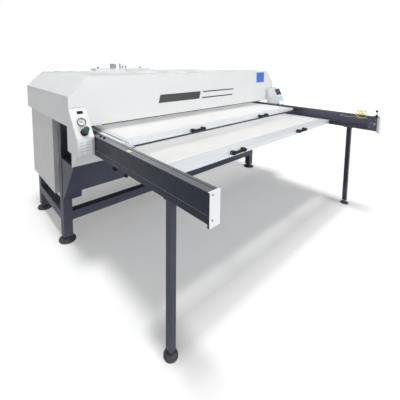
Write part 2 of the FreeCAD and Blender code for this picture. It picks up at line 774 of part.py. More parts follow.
def front_bracket(side):
    """Tapered bracket in front of a front post, with a head under the rail."""
    shelf_z = BRACKET_SHELF_Z
    side_outline = [(FRONT_POST_Y, BRACKET_ROOT_Z), (FRONT_POST_Y, shelf_z), (0, shelf_z), (0, BRACKET_TIP_Z)]
    lower = side_prism(side_outline, -POST_OUTER, -BRACKET_INNER)
    low_z = BRACKET_ROOT_Z - 15
    front_outline = [
        (-POST_OUTER, low_z), (-BRACKET_INNER + 6, low_z), (-BRACKET_HEAD_OUTER + 15, shelf_z),
        (-POST_OUTER, shelf_z),
    ]
    wedge = lower.common(front_prism(front_outline, 0, FRONT_POST_Y))
    head = box(-BRACKET_HEAD_OUTER, -BRACKET_INNER, BRACKET_HEAD_Y, FRONT_POST_Y, shelf_z, RAIL_BOTTOM)
    shelf = box(-BRACKET_HEAD_OUTER, -BRACKET_INNER, BRACKET_HEAD_Y, FRONT_POST_Y, shelf_z - 20, shelf_z)
    bracket = fused([wedge, shelf, head])
    return bracket if side < 0 else mirrored(bracket)


def rail_spacers():
    """Blocks that fix the rails to the inner faces of the posts."""
    pieces = []
    inset = (POST - SPACER_LENGTH) / 2
    for y in (FRONT_POST_Y + inset, REAR_POST_Y + inset):
        pieces.append(box(
            -post_inner(), -RAIL_INNER - RAIL_WIDTH, y, y + SPACER_LENGTH, SPACER_BOTTOM, SPACER_TOP))
    return both_sides(group(pieces))


def foot(x, y, sizes, top):
    """Round foot: a plate, a dome and the stem up to the tube's end."""
    plate_radius, plate_height, dome_base, dome_tip, dome_height, stem_radius = sizes
    plate = rod(x, y, 0, plate_radius, plate_height)
    dome = Part.makeCone(dome_base, dome_tip, dome_height, V(x, y, plate_height), Z_AXIS)
    stem_z = plate_height + dome_height
    stem = rod(x, y, stem_z, stem_radius, top - stem_z)
    return fused([plate, dome, stem])


def main_feet():
    mid = POST_OUTER - POST / 2
    spots = [(x, y + POST / 2) for x in (-mid, mid) for y in (FRONT_POST_Y, REAR_POST_Y)]
    return group([foot(x, y, MAIN_FOOT, POST_BOTTOM) for x, y in spots])


def support_leg(side):
    top = RAIL_BOTTOM - LEG_FLANGE
    half = LEG_FLANGE_HALF
    tube = square_tube_z(-LEG_X - LEG_TUBE / 2, LEG_Y - LEG_TUBE / 2, LEG_BOTTOM, top, LEG_TUBE, LEG_WALL)
    flange = box(-RAIL_INNER - RAIL_WIDTH, -RAIL_INNER, LEG_Y - half, LEG_Y + half, top, RAIL_BOTTOM)
    leg = fused([tube, flange])
    return leg if side < 0 else mirrored(leg)


def leg_feet():
    return both_sides(foot(-LEG_X, LEG_Y, LEG_FOOT, LEG_BOTTOM))


# ---------------------------------------------------------------- rails

def rail(side):
    """Hollow profile with a slot along its top and a fine groove along its outer face."""
    x0 = -RAIL_INNER - RAIL_WIDTH
    x1 = -RAIL_INNER
    wall = RAIL_WALL
    half_slot = SLOT_WIDTH / 2
    outline = box(x0, x1, RAIL_FRONT, RAIL_BACK, RAIL_BOTTOM, RAIL_TOP)
    cuts = [
        box(x0 + wall, x1 - wall, RAIL_FRONT, RAIL_BACK, RAIL_BOTTOM + wall, RAIL_TOP - RAIL_TOP_WALL),
        box(x0, x0 + GROOVE_DEPTH, RAIL_FRONT, RAIL_BACK, GROOVE_BOTTOM, GROOVE_TOP),
    ]
    x = x0 + SLOT_INSET
    cuts.append(box(x - half_slot, x + half_slot, RAIL_FRONT, RAIL_BACK, RAIL_TOP - SLOT_DEPTH, RAIL_TOP))
    profile = outline.cut(group(cuts))
    return profile if side < 0 else mirrored(profile)


def rail_end_caps():
    """White end plates, each folded back a little along the rail's inner face."""
    outer_x = -RAIL_INNER - RAIL_WIDTH
    plate = box(outer_x, -RAIL_INNER, CAP_FRONT + SHEET, RAIL_FRONT, CAP_BOTTOM, RAIL_TOP)
    fold = box(
        -RAIL_INNER, -RAIL_INNER + SHEET, CAP_FRONT + SHEET, CAP_FRONT + CAP_RETURN, CAP_BOTTOM, RAIL_TOP)
    return both_sides(fused([plate, fold]))


def rail_end_screws():
    x = -RAIL_INNER - RAIL_WIDTH + CAP_SCREW_INSET
    pieces = [rod(x, CAP_FRONT, z, FRONT_SCREW_RADIUS, SHEET, Y_AXIS) for z in CAP_SCREW_Z]
    return both_sides(group(pieces))


def rail_top_bolts():
    x = -RAIL_INNER - RAIL_WIDTH + RAIL_BOLT_INSET
    return both_sides(group([rod(x, y, RAIL_TOP, RAIL_BOLT_RADIUS, RAIL_BOLT_RADIUS) for y in RAIL_BOLT_Y]))


def rail_knob(y, core, depth):
    """Five-lobed knob close under the left rail."""
    x = -RAIL_INNER - RAIL_WIDTH + RAIL_KNOB_INSET
    low = RAIL_BOTTOM - RAIL_KNOB_STUD - depth
    pieces = [rod(x, y, low, core, depth), rod(x, y, low + depth, core / 2, RAIL_KNOB_STUD - TRACK_PLAY)]
    for index in range(RAIL_KNOB_LOBES):
        angle = 2 * math.pi * index / RAIL_KNOB_LOBES
        pieces.append(rod(x + core * math.cos(angle), y + core * math.sin(angle), low, core / 2, depth))
    return fused(pieces)


def track(z_top, front, lip_front):
    """Channel on the inner face of a rail, open towards the tray, with a lip over the tray's rollers."""
    centre = z_top - TRAY_HEIGHT / 2
    half = ROLLER_RADIUS + TRACK_PLAY
    x0 = -RAIL_INNER
    x1 = -RAIL_INNER + TRACK_DEPTH
    outer = box(x0, x1, front, TRACK_BACK, centre - half - TRACK_WALL, centre + half + TRACK_WALL)
    inner = box(x0 + TRACK_WALL, x1, front, TRACK_BACK, centre - half, centre + half)
    lip = box(x1 - TRACK_WALL, x1 + TRACK_LIP, lip_front, TRACK_BACK, centre + half, centre + half + TRACK_WALL)
    return fused([outer.cut(inner), lip])


def upper_tracks():
    return both_sides(track(UPPER_TRAY_TOP, UPPER_TRACK_FRONT, UPPER_TRACK_FRONT))


def lower_tracks():
    return both_sides(track(LOWER_TRAY_TOP, TRACK_FRONT, LOWER_LIP_FRONT))


def end_stops():
    """Plates that close the front ends of the tracks."""
    return both_sides(box(
        -RAIL_INNER, -RAIL_INNER + STOP_PLATE, STOP_FRONT, TRACK_FRONT - SHEET, STOP_BOTTOM, STOP_TOP))


def end_stop_screws():
    x = -RAIL_INNER + STOP_PLATE
    return both_sides(group([rod(x, y, z, FRONT_SCREW_RADIUS, 3, X_AXIS) for y, z in STOP_SCREWS]))


# ---------------------------------------------------------------- trays

def tray_frame(front, top):
    """Rectangular frame of flat bars, wide at the front."""
    back = front + TRAY_DEPTH
    outer = box(-TRAY_HALF, TRAY_HALF, front, back, top - TRAY_HEIGHT, top)
    inner = box(
        -TRAY_HALF + TRAY_EDGE, TRAY_HALF - TRAY_EDGE, front + TRAY_FRONT_EDGE, back - TRAY_EDGE,
        top - TRAY_HEIGHT, top,
    )
    return outer.cut(inner)


def tray_plate(front, top):
    """Thin plate that closes the frame, under the pad."""
    back = front + TRAY_DEPTH
    upper = top - PAD_THICKNESS
    return box(
        -TRAY_HALF + TRAY_EDGE, TRAY_HALF - TRAY_EDGE, front + TRAY_FRONT_EDGE, back - TRAY_EDGE,
        upper - TRAY_PLATE, upper,
    )


def tray_pad(front, top):
    back = front + TRAY_DEPTH
    half = TRAY_HALF - TRAY_EDGE - PAD_GAP
    y0 = front + TRAY_FRONT_EDGE + PAD_GAP
    return box(-half, half, y0, back - TRAY_EDGE - PAD_GAP, top - PAD_THICKNESS, top + PAD_RISE)


def tray_handle(x, front, top):
    """Bridge handle: two end blocks and a bar that stands forward of the tray's front face."""
    z = top - HANDLE_DROP
    half = HANDLE_BLOCK / 2
    pieces = []
    for end in (-1, 1):
        middle = x + end * (HANDLE_LENGTH / 2 - half)
        pieces.append(box(middle - half, middle + half, front - HANDLE_REACH - 2, front, z - half, z + half))
    bar = rod(x - HANDLE_LENGTH / 2, front - HANDLE_REACH, z, HANDLE_BAR, HANDLE_LENGTH, X_AXIS)
    return fused(pieces + [bar])


def tray_handles(front, top):
    return group([tray_handle(x, front, top) for x in HANDLE_X])


def roller_centre(front, top, rear):
    y = front + TRAY_DEPTH - ROLLER_INSET if rear else front + ROLLER_INSET
    return y, top - TRAY_HEIGHT / 2


def roller_pair(front, top, rear):
    y, z = roller_centre(front, top, rear)
    wheel = rod(-ROLLER_X - ROLLER_WIDTH, y, z, ROLLER_RADIUS, ROLLER_WIDTH, X_AXIS)
    wheel = wheel.cut(rod(-ROLLER_X - ROLLER_WIDTH, y, z, ROLLER_BORE, ROLLER_WIDTH, X_AXIS))
    return both_sides(wheel)


def roller_axles(front, top):
    """Pins with a shoulder against each side of the roller."""
    pieces = []
    for rear in (False, True):
        y, z = roller_centre(front, top, rear)
        start = -ROLLER_X - ROLLER_WIDTH - AXLE_PLAY - AXLE_END
        collar_x = -ROLLER_X + AXLE_PLAY
        pin = rod(start, y, z, AXLE_RADIUS, -TRAY_HALF - start, X_AXIS)
        head = rod(start, y, z, AXLE_RADIUS + AXLE_HEAD, AXLE_END, X_AXIS)
        collar = rod(collar_x, y, z, AXLE_RADIUS + AXLE_HEAD, -TRAY_HALF - collar_x, X_AXIS)
        pieces.append(fused([pin, head, collar]))
    return both_sides(group(pieces))


# ---------------------------------------------------------------- press

def hanger_spots():
    return [(x, y) for x in HANGER_X for y in HANGER_Y]


def heated_platen():
    top = PLATEN_BOTTOM + PLATEN_THICKNESS
    return box(-PLATEN_HALF, PLATEN_HALF, PLATEN_FRONT, PLATEN_BACK, PLATEN_BOTTOM, top)


def heating_elements():
    """Straight tubular heaters clamped along the top of the platen."""
    z = PLATEN_BOTTOM + PLATEN_THICKNESS + ELEMENT_RADIUS
    first = PLATEN_FRONT + ELEMENT_MARGIN
    pitch = (PLATEN_BACK - ELEMENT_MARGIN - first) / (ELEMENT_COUNT - 1)
    half = PLATEN_HALF - ELEMENT_INSET
    rows = range(ELEMENT_COUNT)
    return group([rod(-half, first + pitch * row, z, ELEMENT_RADIUS, 2 * half, X_AXIS) for row in rows])


def insulation_z():
    return PLATEN_BOTTOM + PLATEN_THICKNESS + 2 * ELEMENT_RADIUS


def platen_insulation():
    z0 = insulation_z()
    slab = box(-PLATEN_HALF, PLATEN_HALF, PLATEN_FRONT, PLATEN_BACK, z0, z0 + INSULATION)
    holes = [rod(x, y, z0, HANGER_RADIUS + HOLE_PLAY, INSULATION) for x, y in hanger_spots()]
    return slab.cut(group(holes))


def hanger_studs():
    z0 = PLATEN_BOTTOM + PLATEN_THICKNESS
    z1 = POST_TOP - POST
    return group([rod(x, y, z0, HANGER_RADIUS, z1 - z0) for x, y in hanger_spots()])


def upper_girders():
    """Square tubes between the posts that take the pressing force."""
    half = post_inner()
    return group([
        square_tube_x(-half, half, FRONT_POST_Y, POST_TOP - POST, POST, UPPER_WALL),
        square_tube_x(-half, half, REAR_POST_Y, POST_TOP - POST, POST, UPPER_WALL),
    ])


def upper_stiffeners():
    """Square tubes from the front upper girder to the rear one."""
    y0 = FRONT_POST_Y + POST
    z = POST_TOP - STIFFENER_DROP
    half = STIFFENER / 2
    return group([square_tube_y(x - half, y0, REAR_POST_Y, z, STIFFENER, TUBE_WALL) for x in STIFFENER_X])


def temperature_sensor():
    z = PLATEN_BOTTOM + PLATEN_THICKNESS
    foot_half = 10.0
    tip = rod(SENSOR_X, SENSOR_Y, z, 4, 9)
    base = box(
        SENSOR_X - foot_half, SENSOR_X + foot_half, SENSOR_Y - foot_half, SENSOR_Y + foot_half, z, z + 3)
    return fused([tip, base])


def press_bed():
    """Thick plate with ribs below, three across it and three along it."""
    plate = box(-BED_HALF, BED_HALF, BED_FRONT, BED_BACK, BED_TOP - BED_PLATE, BED_TOP)
    z1 = BED_TOP - BED_PLATE
    z0 = z1 - BED_RIB
    inset = BED_RIB / 2
    half = CROSS_WIDTH / 2
    ribs = []
    for x in CROSS_X:
        ribs.append(box(x - half, x + half, BED_FRONT + inset, BED_BACK - inset, z0, z1))
    for y in (BED_FRONT + inset, 640.0, BED_BACK - inset - BED_RIB):
        ribs.append(box(-BED_HALF + inset, BED_HALF - inset, y, y + BED_RIB, z0, z1))
    return fused([plate] + ribs)


def cylinder_barrels():
    pieces = []
    for x in CROSS_X:
        for y in CYLINDER_Y:
            height = CYLINDER_TOP - CROSS_TOP
            floor = CROSS_TOP + CYLINDER_END
            barrel = rod(x, y, CROSS_TOP, CYLINDER_RADIUS, height)
            cavity = rod(x, y, floor, CYLINDER_RADIUS - CYLINDER_WALL, height - 2 * CYLINDER_END)
            throat = rod(x, y, floor, ROD_RADIUS + RUNNING_PLAY, height)
            pieces.append(barrel.cut(cavity).cut(throat))
    return group(pieces)


def cylinder_rods():
    underside = BED_TOP - BED_PLATE - BED_RIB
    foot_z = CROSS_TOP + CYLINDER_END + 2
    piston_radius = CYLINDER_RADIUS - CYLINDER_WALL - PISTON_PLAY
    pieces = []
    for x in CROSS_X:
        for y in CYLINDER_Y:
            piston = rod(x, y, foot_z, piston_radius, PISTON_HEIGHT)
            stem = rod(x, y, foot_z, ROD_RADIUS, underside - foot_z)
            head = rod(x, y, underside - ROD_HEAD, ROD_HEAD_RADIUS, ROD_HEAD)
            pieces.append(fused([piston, stem, head]))
    return group(pieces)


def column_spots():
    return [(x, y) for x in (-COLUMN_X, COLUMN_X) for y in COLUMN_Y]


def guide_columns():
    return group([rod(x, y, CROSS_TOP, COLUMN_RADIUS, BUSH_LENGTH) for x, y in column_spots()])


def guide_bushes():
    """Bushes under the bed that run on the columns."""
    top = BED_TOP - BED_PLATE
    pieces = []
    for x, y in column_spots():
        bush = rod(x, y, top - BUSH_LENGTH, COLUMN_RADIUS + BUSH_WALL, BUSH_LENGTH)
        bore = rod(x, y, top - BUSH_LENGTH, COLUMN_RADIUS + RUNNING_PLAY, BUSH_LENGTH)
        pieces.append(bush.cut(bore))
    return group(pieces)


# ---------------------------------------------------------------- cabinets and services

def side_cabinet(side):
    """Folded cover over the side of the frame, notched round the rear post."""
    top = SKIRT_BOTTOM + COVER_LAP
    outer = box(-CABINET_OUTER, -CABINET_INNER, CABINET_FRONT, CABINET_BACK, CABINET_BOTTOM, top)
    inner = box(
        -CABINET_OUTER + SHEET, -CABINET_INNER + 1, CABINET_FRONT + SHEET, CABINET_BACK - SHEET,
        CABINET_BOTTOM + SHEET, top + 1,
    )
    notch = box(
        -POST_OUTER - 1, -CABINET_INNER + 5, REAR_POST_Y - 1, REAR_POST_Y + POST + 1, CABINET_BOTTOM, top)
    shell = outer.cut(inner).cut(notch)
    return shell if side < 0 else mirrored(shell)


def cabinet_brackets():
    """Small angles that hold the cabinets off the rear posts and side beams."""
    pieces = []
    y0 = REAR_POST_Y + POST / 4
    y1 = REAR_POST_Y + POST * 3 / 4
    for z in CABINET_BRACKET_Z:
        pieces.append(box(-CABINET_OUTER + SHEET, -POST_OUTER, y0, y1, z, z + 40))
    return both_sides(group(pieces))


def rear_cover_brackets():
    """Angles from the rear posts back to the lower rear cover."""
    wall = 6.0
    height = 30.0
    x0 = -post_inner()
    pieces = []
    for z in REAR_BRACKET_Z:
        arm = box(x0, x0 + wall, REAR_POST_Y + POST / 2, CABINET_BACK, z, z + height)
        flange = box(x0, -RAIL_INNER - RAIL_WIDTH, CABINET_BACK - wall, CABINET_BACK, z, z + height)
        pieces.append(fused([arm, flange]))
    return both_sides(group(pieces))


def air_tank():
    """Lying air tank with domed ends, on saddles that stand on the cross members."""
    z = CROSS_TOP + TANK_RADIUS + 8
    body = rod(TANK_LEFT, TANK_Y, z, TANK_RADIUS, -TANK_LEFT, X_AXIS)
    ends = [Part.makeSphere(TANK_RADIUS, V(x, TANK_Y, z)) for x in (TANK_LEFT, 0)]
    tank = fused([body] + ends)
    y0 = TANK_Y - SADDLE_REACH
    y1 = TANK_Y + SADDLE_REACH
    saddles = []
    for x in (TANK_LEFT, 0):
        saddle = box(x - SADDLE_HALF, x + SADDLE_HALF, y0, y1, CROSS_TOP, CROSS_TOP + SADDLE_HEIGHT)
        saddles.append(saddle.cut(tank))
    return group([tank] + saddles)


def control_box():
    """Closed electrical box on the inside of the right cabinet, with cable glands below it."""
    bottom = 480.0
    body = box(CABINET_INNER + 8, CABINET_OUTER - SHEET, 560, 960, bottom, 980)
    glands = [rod(1425, 600 + 60 * index, bottom - 30, 12, 30) for index in range(GLAND_COUNT)]
    return fused([body] + glands)


def valve_block():
    """Manifold with four solenoid coils on the inside of the left cabinet."""
    top = 660.0
    body = box(-CABINET_OUTER + SHEET, -1400, 560, 780, top - 60, top)
    coils = []
    for index in range(COIL_COUNT):
        y = 575 + 50 * index
        coils.append(box(-1446, -1412, y, y + 32, top, top + 45))
    return fused([body] + coils)


# ---------------------------------------------------------------- hand valve on the right rail

def hand_valve():
    """Small valve on the end of the right rail: base, two cheeks and the pin between them."""
    axis_z = RAIL_TOP + LEVER_PIN_HEIGHT
    pieces = [box(VALVE_X - 16, VALVE_X + 16, VALVE_Y - 18, VALVE_Y + 18, RAIL_TOP, RAIL_TOP + 6)]
    for x in (VALVE_X - 12, VALVE_X + 4):
        pieces.append(rod(x, VALVE_Y, axis_z, 9, 8, X_AXIS))
        pieces.append(box(x, x + 8, VALVE_Y - 9, VALVE_Y + 9, RAIL_TOP + 5, axis_z))
    pieces.append(rod(VALVE_X - 13, VALVE_Y, axis_z, PIN_RADIUS, 26, X_AXIS))
    return fused(pieces)


def valve_lever():
    """Stem with a ball that tips forward and back about the pin."""
    axis_z = RAIL_TOP + LEVER_PIN_HEIGHT
    eye = rod(VALVE_X - 3.5, VALVE_Y, axis_z, 6.5, 7, X_AXIS)
    stem = rod(VALVE_X, VALVE_Y, axis_z + 3, 3, LEVER_LENGTH - BALL_RADIUS + 0.5)
    ball = Part.makeSphere(BALL_RADIUS, V(VALVE_X, VALVE_Y, axis_z + LEVER_LENGTH))
    lever = fused([eye, stem, ball])
    return lever.cut(rod(VALVE_X - 20, VALVE_Y, axis_z, PIN_RADIUS + RUNNING_PLAY, 40, X_AXIS))


def coiled_hose():
    """Air hose coiled beside the valve, as closed turns side by side."""
    z = RAIL_TOP + COIL_RADIUS + HOSE_RADIUS + 0.5
    rings = []
    for index in range(COIL_TURNS):
        centre = V(COIL_X, COIL_Y + COIL_PITCH * index, z)
        rings.append(Part.makeTorus(COIL_RADIUS, HOSE_RADIUS, centre, Y_AXIS))
    return group(rings)


def main():
    os.makedirs("parts", exist_ok=True)
    nodes = {
        "front_cover": front_cover(),
        "top_cover": top_cover(),
        "left_side_cover": left_side_cover(),
        "right_side_cover": right_side_cover(),
        "rear_covers": group([rear_cover(), lower_rear_cover()]),
        "hood_frame": group([hood_frame(), hood_frame_struts()]),
        "service_plate": service_plate(),
        "extraction_spigot": extraction_spigot(),
        "plate_fittings": group([plate_knobs(), plate_grips()]),
        "left_console": left_console(),
        "right_console": group([right_console(), button_collars()]),
        "gauge_case": gauge_case(),
        "gauge_needle": gauge_needle(),
        "gauge_glass": gauge_glass(),
        "regulator_body": regulator_body(),
        "regulator_knob": regulator_knob(),
        "switch_bezel": switch_bezel(),
        "switch_rocker": switch_rocker(),
        "control_screen": control_screen(),
        "key_panel": key_panel(),
        "green_button": button(BUTTON_X[0]),
        "red_button": button(BUTTON_X[1]),
        "left_side_frame": side_frame(-1),
        "right_side_frame": side_frame(1),
        "lower_beams": group([lower_beam(FRONT_POST_Y), lower_beam(REAR_POST_Y)]),
        "base_girders": group([
            girder(FRONT_POST_Y + GIRDER_INSET, 1), girder(REAR_POST_Y + POST - GIRDER_INSET, -1)]),
        "cross_members": cross_members(),
        "brackets": group([
            front_bracket(-1), front_bracket(1), rail_spacers(), cabinet_brackets(), rear_cover_brackets()]),
        "levelling_feet": group([main_feet(), leg_feet()]),
        "support_legs": group([support_leg(-1), support_leg(1)]),
        "left_rail": rail(-1),
        "right_rail": rail(1),
        "rail_end_caps": rail_end_caps(),
        "screws_and_bolts": group([hood_screws(), rail_end_screws(), rail_top_bolts(), end_stop_screws()]),
        "left_front_knob": rail_knob(*FRONT_KNOB),
        "left_rear_knob": rail_knob(*REAR_KNOB),
        "tray_tracks": group([upper_tracks(), lower_tracks(), end_stops()]),
        "heated_platen": heated_platen(),
        "heating_elements": group([heating_elements(), temperature_sensor()]),
        "platen_insulation": platen_insulation(),
        "upper_girders": group([upper_girders(), upper_stiffeners(), hanger_studs()]),
        "press_bed": group([press_bed(), guide_bushes()]),
        "cylinders_and_columns": group([cylinder_barrels(), guide_columns()]),
        "cylinder_rods": cylinder_rods(),
        "side_cabinets": group([side_cabinet(-1), side_cabinet(1)]),
        "air_tank": air_tank(),
        "control_box": group([control_box(), valve_block()]),
        "hand_valve": hand_valve(),
        "valve_lever": valve_lever(),
        "coiled_hose": coiled_hose(),
    }
    for level, front, top in (("upper", UPPER_TRAY_FRONT, UPPER_TRAY_TOP),
                              ("lower", LOWER_TRAY_FRONT, LOWER_TRAY_TOP)):
        body = fused([tray_frame(front, top), tray_plate(front, top)])
        nodes[level + "_tray_frame"] = group([body, roller_axles(front, top)])
        nodes[level + "_tray_pad"] = tray_pad(front, top)
        nodes[level + "_tray_handles"] = tray_handles(front, top)
        nodes[level + "_front_rollers"] = roller_pair(front, top, False)
        nodes[level + "_rear_rollers"] = roller_pair(front, top, True)
    for name, shape in nodes.items():
        shape.exportStep("parts/" + name + ".step")
    print(len(nodes), "nodes")


main()
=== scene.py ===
import json
import math
import random

import bmesh
import bpy
from mathutils import Matrix, Vector, noise


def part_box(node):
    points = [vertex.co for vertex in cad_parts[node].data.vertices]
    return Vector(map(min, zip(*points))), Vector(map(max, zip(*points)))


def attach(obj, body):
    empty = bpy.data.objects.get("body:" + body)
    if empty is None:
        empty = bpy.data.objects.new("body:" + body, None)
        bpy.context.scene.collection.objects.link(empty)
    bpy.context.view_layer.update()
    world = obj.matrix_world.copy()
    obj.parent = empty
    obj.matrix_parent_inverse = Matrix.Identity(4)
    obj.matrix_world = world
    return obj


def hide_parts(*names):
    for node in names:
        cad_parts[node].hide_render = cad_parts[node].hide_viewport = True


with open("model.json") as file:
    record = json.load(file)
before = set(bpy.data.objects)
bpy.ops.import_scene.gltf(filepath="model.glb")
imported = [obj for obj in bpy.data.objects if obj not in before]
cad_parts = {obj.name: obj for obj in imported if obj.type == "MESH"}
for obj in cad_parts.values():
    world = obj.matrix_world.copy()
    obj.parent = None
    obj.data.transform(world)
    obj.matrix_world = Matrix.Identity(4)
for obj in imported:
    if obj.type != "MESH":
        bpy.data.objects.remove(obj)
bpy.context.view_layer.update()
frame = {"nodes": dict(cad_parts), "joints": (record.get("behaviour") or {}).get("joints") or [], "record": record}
NODES = frame["nodes"]
random.seed(11)

MM = 0.001
RAIL_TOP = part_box("left_rail")[1].z
TRAY_BORDER = 25 * MM        # flat metal border around each pad


def show(obj):
    bpy.context.scene.collection.objects.link(obj)


def joint_named(name):
    return next(row for row in frame["joints"] if row["name"] == name)


# -------- materials

class Nodes:
    """Short way to build a node tree."""

    def __init__(self, name):
        self.material = bpy.data.materials.new(name)
        self.material.use_nodes = True
        self.tree = self.material.node_tree
        self.tree.nodes.clear()
        self.output = self.add("ShaderNodeOutputMaterial")
        self.shader = self.add("ShaderNodeBsdfPrincipled")
        self.link(self.shader.outputs[0], self.output.inputs[0])
        self.coordinates = self.add("ShaderNodeTexCoord").outputs["Object"]

    def add(self, kind, **values):
        node = self.tree.nodes.new(kind)
        for key, value in values.items():
            if hasattr(node, key):
                setattr(node, key, value)
            else:
                node.inputs[key].default_value = value
        return node

    def link(self, a, b):
        self.tree.links.new(a, b)

    def stretched(self, scale):
        mapping = self.add("ShaderNodeMapping")
        mapping.inputs["Scale"].default_value = scale
        self.link(self.coordinates, mapping.inputs["Vector"])
        return mapping.outputs[0]

    def noise(self, scale, detail=3.0, vector=None, roughness=0.55):
        node = self.add("ShaderNodeTexNoise", Scale=scale, Detail=detail, Roughness=roughness)
        self.link(vector or self.coordinates, node.inputs["Vector"])
        return node.outputs[0]

    def span(self, value, low, high, to_low, to_high):
        node = self.add("ShaderNodeMapRange")
        for key, number in (("From Min", low), ("From Max", high), ("To Min", to_low), ("To Max", to_high)):
            node.inputs[key].default_value = number
        self.link(value, node.inputs["Value"])
        return node.outputs[0]

    def math(self, operation, a, b):
        node = self.add("ShaderNodeMath", operation=operation)
        for socket, value in zip(node.inputs, (a, b)):
            if isinstance(value, (int, float)):
                socket.default_value = value
            else:
                self.link(value, socket)
        return node.outputs[0]

    def mix(self, factor, a, b):
        node = self.add("ShaderNodeMix", data_type="RGBA")
        for name, value in (("Factor", factor), ("A", a), ("B", b)):
            socket = [s for s in node.inputs if s.name == name and s.enabled][0]
            if isinstance(value, (int, float)):
                socket.default_value = value
            elif isinstance(value, tuple):
                socket.default_value = value + (1.0,)
            else:
                self.link(value, socket)
        return [s for s in node.outputs if s.enabled][0]


def shade(colour, factor):
    return tuple(min(1.0, c * factor) for c in colour)


EDGE_ROUNDING = 1.2 * MM      # radius over which corners are shaded round
WORN_PALE = (0.55, 0.55, 0.56)
DUST = (0.42, 0.40, 0.37)


def finish(name, colour, roughness, metallic=0.0, spread=0.06, grain=500.0, bump=0.12, wear=0.25,
           coat=0.0, stretch=None, dirt=0.0, streak=0.0, specular=0.5):
    """Procedural finish: slow colour drift, fine grain, worn edges, low dust and a rounded edge shade."""
    n = Nodes(name)
    slow = n.noise(2.3, 4.0)
    fine_vector = n.stretched(stretch) if stretch else None
    fine = n.noise(grain, 4.0, fine_vector)
    drift = n.span(slow, 0.3, 0.7, 0.0, 1.0)
    tint = n.mix(drift, shade(colour, 1.0 - spread), shade(colour, 1.0 + spread))
    tint = n.mix(n.span(fine, 0.3, 0.7, 0.0, 0.35 + streak), tint, shade(colour, 1.0 - 1.6 * spread))
    rounded = n.add("ShaderNodeBevel", Radius=EDGE_ROUNDING, samples=4)
    geometry = n.add("ShaderNodeNewGeometry")
    dot = n.add("ShaderNodeVectorMath", operation="DOT_PRODUCT")
    n.link(rounded.outputs[0], dot.inputs[0])
    n.link(geometry.outputs["Normal"], dot.inputs[1])
    corner = n.span(dot.outputs["Value"], 0.995, 0.9, 0.0, 1.0)
    scuffed = n.math("MULTIPLY", corner, n.span(n.noise(38.0, 5.0), 0.45, 0.62, 0.0, wear))
    worn = WORN_PALE if max(colour) < 0.4 else shade(colour, 0.72)
    tint = n.mix(scuffed, tint, worn)
    if dirt:
        split = n.add("ShaderNodeSeparateXYZ")
        n.link(n.coordinates, split.inputs[0])
        low = n.span(split.outputs["Z"], 0.0, 0.30, dirt, 0.0)
        dust = n.math("MULTIPLY", low, n.span(n.noise(16.0, 5.0), 0.35, 0.7, 0.2, 1.0))
        tint = n.mix(dust, tint, DUST)
    n.link(tint, n.shader.inputs["Base Color"])
    smear = n.span(n.noise(7.0, 5.0), 0.3, 0.7, roughness * 0.85, min(1.0, roughness * 1.18))
    n.link(smear, n.shader.inputs["Roughness"])
    n.shader.inputs["Metallic"].default_value = metallic
    n.shader.inputs["Coat Weight"].default_value = coat
    n.shader.inputs["Coat Roughness"].default_value = 0.25
    n.shader.inputs["Specular IOR Level"].default_value = specular
    relief = n.add("ShaderNodeBump", Strength=bump, Distance=0.0004)
    n.link(fine, relief.inputs["Height"])
    n.link(rounded.outputs[0], relief.inputs["Normal"])
    n.link(relief.outputs[0], n.shader.inputs["Normal"])
    return n.material


def felt_finish(name, colour):
    """Pressed felt: matted fibres, faint mottling and a soft sheen."""
    n = Nodes(name)
    fibres = n.noise(1400.0, 8.0, n.stretched((1.0, 0.35, 1.0)), 0.7)
    patches = n.noise(9.0, 5.0)
    tint = n.mix(n.span(patches, 0.3, 0.7, 0.0, 1.0), shade(colour, 0.965), shade(colour, 1.02))
    tint = n.mix(n.span(fibres, 0.35, 0.7, 0.0, 0.5), tint, shade(colour, 0.93))
    n.link(tint, n.shader.inputs["Base Color"])
    n.link(n.span(patches, 0.3, 0.7, 0.88, 1.0), n.shader.inputs["Roughness"])
    n.shader.inputs["Sheen Weight"].default_value = 0.35
    relief = n.add("ShaderNodeBump", Strength=0.5, Distance=0.0008)
    n.link(fibres, relief.inputs["Height"])
    n.link(relief.outputs[0], n.shader.inputs["Normal"])
    return n.material


def glass_finish():
    n = Nodes("clear_glass")
    n.shader.inputs["Base Color"].default_value = (0.95, 0.98, 0.98, 1.0)
    n.shader.inputs["Transmission Weight"].default_value = 1.0
    n.shader.inputs["IOR"].default_value = 1.45
    n.link(n.span(n.noise(30.0), 0.3, 0.7, 0.02, 0.07), n.shader.inputs["Roughness"])
    clear = n.add("ShaderNodeBsdfTransparent")
    path = n.add("ShaderNodeLightPath")
    mixed = n.add("ShaderNodeMixShader")
    n.link(n.math("MAXIMUM", path.outputs["Is Shadow Ray"], path.outputs["Is Diffuse Ray"]), mixed.inputs[0])
    n.link(n.shader.outputs[0], mixed.inputs[1])
    n.link(clear.outputs[0], mixed.inputs[2])
    n.link(mixed.outputs[0], n.output.inputs[0])
    return n.material


